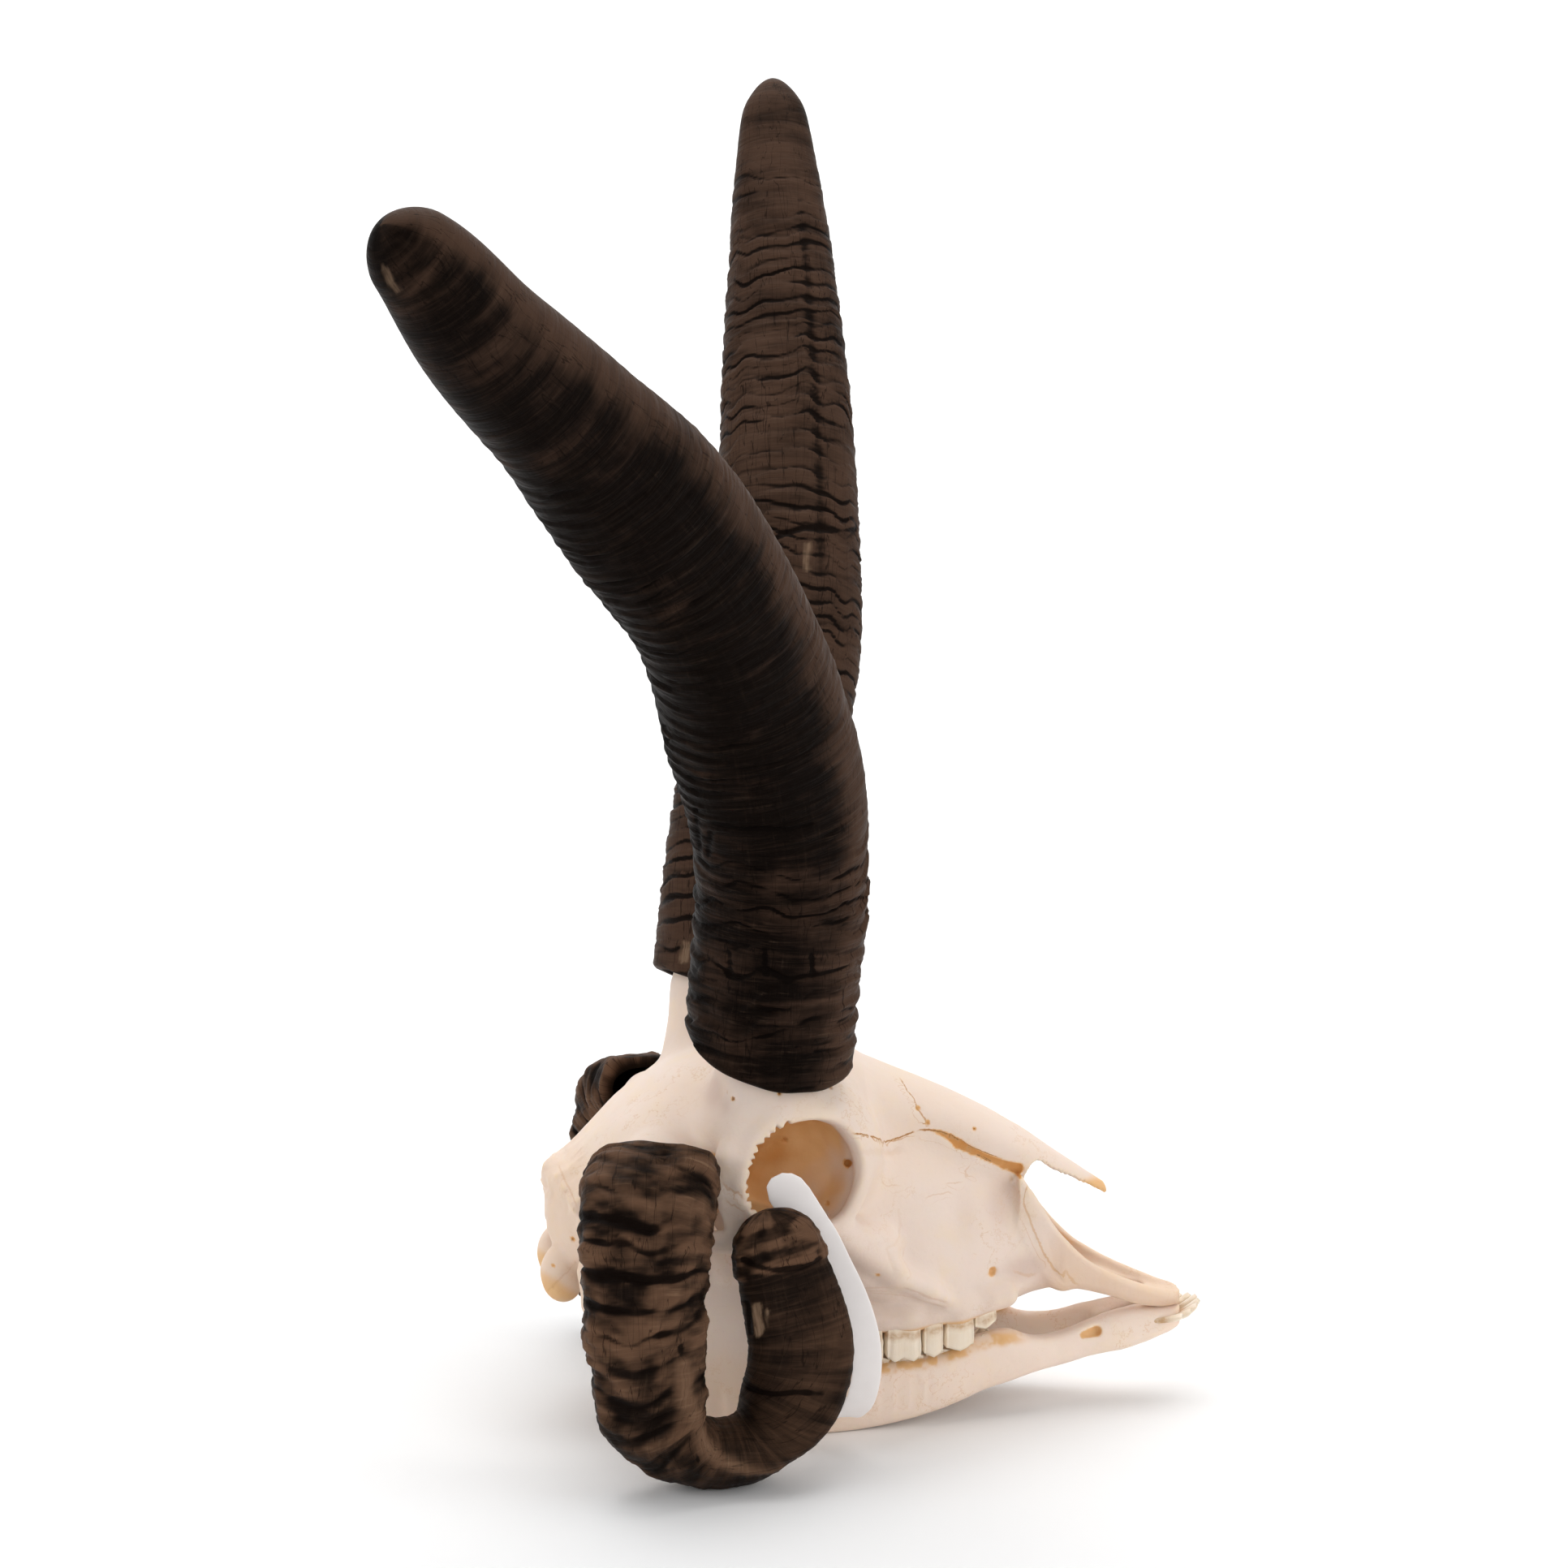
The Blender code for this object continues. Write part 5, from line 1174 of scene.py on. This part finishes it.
def cheek_tooth(x_middle, size, row, up):
    """Points, faces, stain and wear of one cheek tooth on the left side."""
    length, width, shorter, lobes = size
    side, gum = (float(v) for v in table_curves(x_middle, row, (1, 2)))
    ahead, behind = (float(table_curves(x_middle + d, row, (1,))[0]) for d in (1.0, -1.0))
    along = Vector((2.0, ahead - behind, 0)).normalized()
    count = 56
    angle = np.arange(count) * math.tau / count
    u, v = squarish(np.cos(angle), 0.42) * 0.5, squarish(np.sin(angle), 0.35) * 0.5
    lobe = 1 - np.abs(((u + 0.5) * lobes + 0.5) % 1 - 0.5) * 2
    v = v * (1 - 0.14 * lobe)
    rib = np.exp(-((np.abs(u) - 0.45) / 0.04) ** 2) + 0.8 * np.exp(-((u - 0.02) / 0.04) ** 2) * (lobes == 2)
    v = v + (v > 0.2) * rib * 0.07
    root = gum - up * ROOT_DEPTH
    edge = bite_height(x_middle + u * length, side + v * width)
    edge = edge - up * (BITE_GAP / 2 + shorter + lobe * np.where(v > 0, 1.0, 0.6) * CUSP_DEPTH)

    def ring(scale, z):
        flat_x, flat_y = u * length * scale, v * width * scale
        x = x_middle + along.x * flat_x - along.y * flat_y
        y = side + along.y * flat_x + along.x * flat_y
        return np.stack([x, y, np.broadcast_to(z, u.shape)], axis=1)

    rings, marks = [], []
    for t in np.linspace(0, 1, 15):
        z = root + (edge - root) * t
        swell = 0.93 + 0.09 * math.sin(min(t * 1.25, 1) * math.pi / 2) - 0.02 * (t > 0.97)
        rings.append(ring(swell, z))
        marks.append((max(0.0, 1 - abs((np.mean(z) - gum) / 1.8)), 0.0))
    for scale, drop, dark in BITE_FACE:
        rings.append(ring(scale, edge - up * drop))
        marks.append((0.25, dark))
    rings = np.array(rings)
    wobble = layered(rings, 1.8, 5 + lobes, 2) * 0.12
    middle = rings.mean(axis=1, keepdims=True)
    rings[:, :, :2] += ((rings - middle) * wobble[..., None] / 3)[:, :, :2]
    marks = np.concatenate([[(0.5, 0)], np.repeat(marks, count, axis=0), [(0.3, 1)]])
    return *closed_rings(rings), *marks.T


def incisor(route):
    """One front tooth of the left side: a thin root, a neck and a flat crown with a worn edge."""
    root, neck, tip = (np.array(p) for p in route)
    share = np.linspace(0, 1, 26)
    half = np.stack(table_curves(share, INCISOR_SECTIONS, (1, 2)), axis=1)
    a = root + (neck - root) * share[:, None]
    b = neck + (tip - neck) * share[:, None]
    centre = a + (b - a) * share[:, None]
    ahead = unit(b - a)
    wide = unit(np.stack([-ahead[:, 1], ahead[:, 0], np.zeros(len(share))], axis=1))
    deep = np.cross(ahead, wide)
    angle = np.arange(28) * math.tau / 28
    rings = skin(centre[:, None], wide[:, None], deep[:, None], half[:, None], np.cos(angle), np.sin(angle))
    rings = rings + layered(rings, 1.6, 9, 2)[..., None] * 0.06
    marks = np.stack([step(share, 0.72, 0.4) * 0.9, step(share, 0.97, 1.0) * 0.4], axis=1)
    marks = np.concatenate([[(1, 0)], np.repeat(marks, len(angle), axis=0), [(0, 0.4)]])
    return *closed_rings(rings), *marks.T


def both_teeth(name, shape, material):
    points, faces, stain, wear = shape
    for side, corners, prefix in ((1, faces, "left_"), (-1, flipped(faces), "right_")):
        mesh = new_mesh(prefix + name, points * (1, side, 1), corners)
        paint(mesh, stain=stain, wear=wear)
        place(prefix + name + "_crown", mesh, material, prefix + name, "enamel")


def make_teeth(material):
    for jaw, sizes, row, up in (("upper", UPPER_TEETH, UPPER_ROW, -1), ("lower", LOWER_TEETH, LOWER_ROW, 1)):
        x = row[0][0]
        for number, size in enumerate(sizes, 1):
            both_teeth(f"{jaw}_cheek_tooth_{number}", cheek_tooth(x - size[0] / 2, size, row, up), material)
            x -= size[0] + TOOTH_SPACE
    for number, route in enumerate(INCISORS, 1):
        both_teeth(f"incisor_{number}", incisor(route), material)


# Horns


class CentreLine:
    """A horn's middle line, read by the distance along it."""

    def __init__(self, knots):
        self.knots = np.array([(*knot, 1, 0, 0)[:8] for knot in knots], float)
        self.along = distances(self.knots[:, :3])
        self.length = float(self.along[-1])

    def read(self, s, first, last):
        return np.stack([smooth_curve(s, self.along, self.knots[:, k]) for k in range(first, last)], axis=-1)

    def frame(self, s):
        """Middle point, wide direction, deep direction and the two half sizes."""
        before = self.read(np.maximum(s - 1, 0), 0, 3)
        ahead = unit(self.read(np.minimum(s + 1, self.length), 0, 3) - before)
        wide = self.read(s, 5, 8)
        wide = unit(wide - ahead * (wide * ahead).sum(-1, keepdims=True))
        return self.read(s, 0, 3), wide, np.cross(ahead, wide), self.read(s, 3, 5)


def ring_phase(q, spacing, wander, seed, size, share):
    """How many rings lie below each point, counted along a course that wanders."""
    course = noise(q, (spacing * 6, 40, 40), seed) * wander + noise(q, size, seed + 1) * wander * share
    return q[..., 0] / spacing + course


def ring_share(number, seed):
    return lattice(np.stack([number, number * 0, number * 0], axis=-1).astype(np.int64), seed)


def rings_of_growth(q, spacing, wander, seed):
    """Overlapping layers: each rises slowly and drops at its edge. Spacing, course and height wander."""
    phase = ring_phase(q, spacing, wander, seed, (spacing * 2, 12, 12), 0.35)
    number = np.floor(phase)
    t = phase - number
    tall = 0.45 + 0.55 * ring_share(number, seed)
    tall = tall * (0.6 + 0.4 * noise(q, (spacing * 1.5, 16, 16), seed + 2))
    return (t ** 1.6 - 0.42) * step(t, 1.0, 0.86) * tall


def valleys(q, spacing, width, wander, seed):
    """Narrow grooves across the horn: 0 between them and down to -1 inside them."""
    phase = ring_phase(q, spacing, wander, seed, (spacing * 1.5, 9, 9), 0.3)
    number = np.round(phase)
    shown = step(noise(q, (spacing * 1.2, 15, 15), seed + 2), -0.5, 0.3)
    deep = (0.3 + 0.7 * ring_share(number, seed)) * (0.25 + 0.75 * shown)
    return -np.exp(-((phase - number) * spacing / width) ** 2) * deep


def wrinkles(q, size, seed):
    return 1 - 2 * np.abs(noise(q, size, seed))


# Reliefs of the horns. q holds the distance along and the place across of each point of the skin, in
# millimetres, and a result the height, the mark of a ridge (above 0) or a groove, which paints them paler or
# darker, partly as painted highlight and shade, and how brown it is, partly painted light.


def right_upper_relief(q, angle, length, seed):
    """Deep rings at the base, close wrinkles above and a long smooth tip."""
    s = q[..., 0]
    worn = step(s, length - 55, length - 135)
    base = step(s, 135, 85)
    inner = step(np.cos(angle), 0.25, -0.75)
    layers = rings_of_growth(q, 10.5, 1.3, seed) * base
    layers = layers + rings_of_growth(q, 7.0, 1.0, seed + 4) * (1 - base) * (0.25 + inner)
    ring = valleys(q, 8.0, 0.7, 1.4, seed + 5) * base
    ring = ring + valleys(q, 5.6, 0.6, 1.2, seed + 6) * (1 - base) * (0.3 + 0.6 * inner)
    fine = rings_of_growth(q, 2.6, 0.9, seed + 9)
    wrinkle = wrinkles(q, (2.0, 16, 16), seed + 20)
    height = layers * (1.6 + 0.9 * base) * (0.05 + worn) + ring * 1.1 * worn
    height = height + fine * 0.4 * (0.1 + worn) + wrinkle * 0.16 * worn
    height = height + layered(q, (26, 16, 16), seed + 30, 2) * 0.8 * (0.4 + 0.6 * worn)
    height = height + layered(q, (7, 7, 7), seed + 40, 2) * base * 0.35
    ridge = (layers * 1.0 + ring * 1.3 + fine * (0.55 + 0.5 * base) + wrinkle * 0.25) * (0.15 + 0.85 * worn)
    # Painted light: the side turned towards the nose is browner, as if lit
    return height, ridge, 0.06 + 0.75 * step(np.cos(angle), 0.35, 1.0) + 0.16 * (1 - worn) + 0.2 * base


def left_upper_relief(q, angle, length, seed):
    """Wavy rings all the way up, a shallow channel lengthwise and a smooth tip."""
    s = q[..., 0]
    wave = layered(q, (70, 10, 10), seed + 50, 2) * 4.5
    q = np.stack([s + wave * step(s, 60, 160), q[..., 1], q[..., 2]], axis=-1)
    worn = step(s, length - 25, length - 80)
    layers = rings_of_growth(q, 8.0, 0.8, seed)
    ring = valleys(q, 6.2, 0.65, 0.9, seed + 5)
    fine = rings_of_growth(q, 2.4, 0.9, seed + 9)
    channel = np.exp(-(np.angle(np.exp(1j * (angle + math.radians(68)))) / 0.09) ** 2)
    channel = channel * step(s, 140, 190) * step(s, length - 40, length - 90)
    height = layers * 1.6 * (0.08 + worn) + ring * 1.0 * (0.05 + worn) + fine * 0.45 * (0.1 + worn)
    height = height - channel * 0.9 + layered(q, (26, 14, 14), seed + 30, 2) * 0.55
    ridge = (layers * 1.1 + ring * 1.3 + fine * 0.45) * (0.2 + 0.8 * worn) - channel * 0.4
    return height, ridge, 0.66 + 0.12 * step(s, 130, 40) - 0.08 * (1 - worn)


def lower_relief(q, angle, length, seed):
    """Humps between deep curved grooves, finer towards the tip, which is a rough cap."""
    s = q[..., 0]
    sag = 5.0 * np.exp(-(np.angle(np.exp(1j * (angle - math.pi / 2))) / 0.75) ** 2) - 1.5
    streak = noise(q, (40, 1.6, 1.6), seed + 25)
    q = np.stack([s - sag, q[..., 1], q[..., 2]], axis=-1)
    early = step(s, length * 0.62, length * 0.42)
    height = layered(q, (6.5, 10, 10), seed + 12, 3) * (0.3 + 2.3 * early)
    shown = 0.3 + 0.7 * step(noise(q, (9, 13, 13), seed + 2), -0.6, 0.3)
    drift = noise(q, (14, 8, 8), seed + 3) * 1.6
    dark = 0 * s
    for middle, deep in LOWER_GROOVES:
        dark = dark + deep * shown * np.exp(-((q[..., 0] - middle + 3.5 + drift) / 1.1) ** 2)
    medium = rings_of_growth(q, 4.0, 0.9, seed + 5)
    cap = step(s, length - 21.5, length - 19.5)
    height = height - dark + medium * (0.35 + 0.7 * early) + wrinkles(q, (1.6, 10, 10), seed + 18) * 0.16
    height = height + streak * 0.2 * (1 - early) + cap * (0.9 + layered(q, 3.8, seed + 40, 2) * 1.3)
    # Painted shade and highlight: the ridge mark follows the height, darkening grooves and lows
    ridge = medium * 0.5 + height * 0.35 * early - dark * 0.45 + cap * (height * 0.35 - 0.45)
    blotch = layered(q, (3.5, 7, 7), seed + 33, 3)
    # Also follows the height: humps painted browner as if lit, lows darker
    tone = 0.30 + early * (0.16 + blotch * 0.55 + height * 0.22)
    return height, ridge, tone + cap * (0.6 * step(blotch, -0.25, 0.4) + height * 0.08 - 0.1)


def line_through(points):
    """The knots of a thin bar, flattened like the skin in mark_horn."""
    return [(x, y * SIDE_SHARE, z, 0) for x, y, z in points]


def mark_horn(name, outer, centre, ridge, tone):
    """Cracks, bare spots and the keel of the near horns; the keel is painted paler and browner, partly as a
    highlight. The skin, the ridge marks, how brown it is with its painted light, and the bare share, with
    what the marks change."""
    x, y, z = xyz(outer)
    near = step(y - centre[..., 1], 0, -2)
    flat = (x, y * SIDE_SHARE, z)
    dent, bare = 0 * x, 0 * x
    for crack in HORN_CRACKS[name]:
        far = bar(flat, line_through(crack), 0.01)
        dent = np.maximum(dent, near * np.exp(-(np.maximum(far, 0) / 0.9) ** 2))
    for start, end, radius, strength in HORN_BARE[name]:
        start, end = [point[:3] for point in line_through((start, end))]
        far = rod(flat, start, end, radius, radius) + noise(outer, (1.2, 2, 3.5), 4) * 0.9
        bare = np.maximum(bare, strength * near * step(far, 0.7, -0.4))
    dent = dent * (0.7 + 0.3 * noise(outer, 3, 9))
    if name == "right_lower_horn":
        keel = np.exp(-(bar((x, y, z), [(*point, 0) for point in HORN_KEEL], 0.01) / 2.9) ** 2)
        keel = keel * (0.8 + 0.2 * noise(outer, 6, 15))
        dent = dent - keel * 1.6
        # The keel: browner and paler, partly rubbed horn and partly a painted highlight along it
        tone = tone * (1 - keel) + keel * 0.95
        bare = np.maximum(bare, keel * 0.16)
        ridge = ridge * (1 - keel) + keel * 0.5
    outer = outer - unit(outer - centre) * (dent * 0.9 + bare * 0.5)[..., None]
    return outer, ridge - np.maximum(dent, 0) * 1.5, tone, bare


def sheath(name, side, corners, material, slot, knots, rim, depth, sides, spacing, cap, relief, seed):
    """A horn sheath: outer skin from the rim to the round tip, and the socket inside."""
    line = CentreLine(knots)
    angle = np.arange(sides) * math.tau / sides
    cos, sin = np.cos(angle), np.sin(angle)
    middle, lean_wide, lean_deep = rim
    start = middle + lean_wide * cos + lean_deep * sin
    start = start + noise(np.stack([cos * 9, sin * 9, angle * 0], axis=-1), 3.0, seed) * 0.5
    body = 1 - cap / (line.length - middle)
    shares = np.linspace(0, body, int((line.length - middle - cap) / spacing))
    caps = body + (1 - body) * np.sin(np.linspace(0, 1, 22)[1:-1] * math.pi / 2)
    s = start + (line.length - start) * np.concatenate([shares, caps])[:, None]
    centre, wide, deep, half = line.frame(s)
    t = np.clip((s - line.length + cap) / cap, 0, 1)
    size, first, last = corners
    phase = first + (last - first) * s / line.length
    scale = np.sqrt(1 - t * t) * (1 + size * np.cos(3 * (angle - phase)))
    mean = half.mean(-1)
    q = np.stack([s, mean * cos, mean * sin], axis=-1)
    height, ridge, tone = relief(q, angle, line.length, seed)
    ridge = np.clip(ridge, -1, 1)
    lip = -1.3 * (1 - np.clip((s - start) / 2.2, 0, 1)) ** 2
    height = height * (0.25 + 0.75 * np.sqrt(1 - t * t)) * step(s - start, 0, 2) + lip
    outer = skin(centre, wide, deep, half * scale[..., None] + height[..., None], cos, sin)
    bare = 0 * s
    if side > 0:
        outer, ridge, tone, bare = mark_horn(name, outer, centre, ridge, tone)
    depths = np.linspace(0.97, 0.0, 26)[:, None]
    s_in = start + depth * depths
    centre, wide, deep, half = line.frame(s_in)
    half = half - (RIM_WALL if side > 0 else LEFT_RIM_WALL)
    scale = np.sqrt(1 - depths ** 2 * 0.9) * (1 + size * np.cos(3 * (angle - first)))
    inner = skin(centre, wide, deep, half * scale[..., None], cos, sin)
    rings = np.concatenate([inner, outer])
    points, faces = closed_rings(rings, line.read(middle + depth, 0, 3), line.read(line.length, 0, 3))
    points[:, 2] = np.maximum(points[:, 2], 0.0)
    if side < 0:
        points, faces = points * (1, -1, 1), flipped(faces)
    mesh = new_mesh(name, points, faces)
    inside = inner.shape[0] * sides
    q_in = np.stack(np.broadcast_arrays(s_in, mean[0] * cos, mean[0] * sin), axis=-1)
    grain = np.concatenate([q_in, q]).reshape(-1, 3)
    paint(
        mesh,
        grain=np.concatenate([grain[:1], grain, grain[-1:]]) * MM,
        # Ridge marks below 0 paint the socket's inside darker, as shade
        ridge=np.concatenate([[-1], np.full(inside, -0.3), ridge.ravel(), [0]]),
        bare=np.concatenate([np.zeros(inside + 1), bare.ravel(), [0]]),
        tone=np.concatenate([np.zeros(inside + 1), tone.ravel(), [tone.ravel()[-1]]]),
    )
    place(name + "_sheath", mesh, material, name, slot)


def make_horns(upper, lower):
    left = LOWER_LEFT_BASE + LOWER_RIGHT_HORN[len(LOWER_LEFT_BASE):]
    # Side, knots, rim, depth of the socket, points round, spacing, length of the round tip, relief, seed
    for name, side, *shape in (
        ("right_upper_horn", 1, UPPER_RIGHT_HORN, UPPER_RIGHT_RIM, 60, 184, 0.9, 14, right_upper_relief, 3),
        ("left_upper_horn", 1, UPPER_LEFT_HORN, UPPER_LEFT_RIM, 62, 164, 0.95, 16, left_upper_relief, 71),
        ("right_lower_horn", 1, LOWER_RIGHT_HORN, LOWER_RIM, 30, 128, 0.8, 12, lower_relief, 41),
        ("left_lower_horn", -1, left, LOWER_RIM, 30, 96, 1.05, 12, lower_relief, 57),
    ):
        if "upper" in name:
            sheath(name, side, ROUND, upper, "upper_horn", *shape)
        else:
            sheath(name, side, THREE_CORNERED, lower, "lower_horn", *shape)


# Strap


def make_strap(material):
    """A thin plastic band with rounded edges along the path."""
    path = np.array(STRAP_PATH, float)
    along = distances(path[:, :3])
    s = np.concatenate([np.linspace(0, 3, 9)[:-1], np.arange(3, along[-1] - 0.3, 0.9), [along[-1]]])
    centre = np.stack([smooth_curve(s, along, path[:, k]) for k in range(3)], axis=1)
    half = np.interp(s, along, path[:, 3])
    half = np.stack([half, np.full(len(s), STRAP_THICKNESS / 2)], axis=1)
    ahead = unit(np.gradient(centre, axis=0))
    wide = unit(np.array([1.0, 0, 0]) - ahead * ahead[:, :1])
    deep = np.cross(ahead, wide)
    angle = (np.arange(40) + 0.5) * math.tau / 40
    w, d = squarish(np.cos(angle), 0.45), squarish(np.sin(angle), 0.45)
    rings = skin(centre[:, None], wide[:, None], deep[:, None], half[:, None], w, d)
    place("tag_strap", new_mesh("tag_strap", *closed_rings(rings)), material, "strap", "strap")


# Stage


def make_stage():
    """A pale floor that curves up into the backdrop, soft lights and the photograph's camera."""
    bend = np.linspace(0, math.pi / 2, 15)[1:]
    bend = [(1 + 0.9 * math.sin(a), 0.9 - 0.9 * math.cos(a)) for a in bend]
    profile = [(-2.6, 0), (1, 0), *bend, (1.9, 3.4)]
    points = [(x, y, z) for y, z in profile for x in (-3.2, 3.2)]
    faces = [(k, k + 1, k + 3, k + 2) for k in range(0, len(points) - 2, 2)]
    mesh = bpy.data.meshes.new("floor")
    mesh.from_pydata(points, [], faces)
    mesh.shade_smooth()
    m = Nodes("floor")
    colour = m.mix(m.noise(m.place, 3, 2), (0.93, 0.93, 0.93), (0.90, 0.90, 0.90))
    m.put(m.shader.inputs["Base Color"], colour)
    m.shader.inputs["Roughness"].default_value = 0.9
    mesh.materials.append(m.material)
    add_object("floor", mesh)

    target = Vector(CAMERA_TARGET)
    for name, spot, size, power in LIGHTS:
        lamp = bpy.data.lights.new(name, "AREA")
        lamp.shape = "SQUARE"
        lamp.size = size
        lamp.energy = power
        light = add_object(name, lamp)
        light.location = spot
        aim = target if name != "back" else Vector(BACKDROP_MIDDLE)
        light.rotation_euler = (Vector(spot) - aim).to_track_quat("Z", "Y").to_euler()
    world = bpy.data.worlds.new("studio")
    world.use_nodes = True
    sky = world.node_tree.nodes["Background"]
    sky.inputs["Color"].default_value = (1.0, 1.0, 1.0, 1.0)
    sky.inputs["Strength"].default_value = 0.25
    bpy.context.scene.world = world

    level = Vector((math.sin(CAMERA_AZIMUTH), -math.cos(CAMERA_AZIMUTH), 0)) * math.cos(CAMERA_ELEVATION)
    back = level + Vector((0, 0, math.sin(CAMERA_ELEVATION)))
    data = bpy.data.cameras.new("camera")
    data.sensor_width = 36.0
    data.lens = CAMERA_LENS
    data.clip_start = 0.05
    camera = add_object("camera", data)
    camera.location = target + back * CAMERA_DISTANCE
    camera.rotation_euler = back.to_track_quat("Z", "Y").to_euler()
    bpy.context.scene.camera = camera
    bpy.context.scene.view_settings.view_transform = "Standard"


make_stage()
make_cranium(bone_material("bone", 1.0))
# The jaws' bone colour is painted a tenth lighter, as if better lit
make_jaws(bone_material("jaw_bone", 1.1))
make_teeth(tooth_material())
make_horns(horn_material("upper_horn", *UPPER_HORN), horn_material("lower_horn", *LOWER_HORN))
make_strap(strap_material())
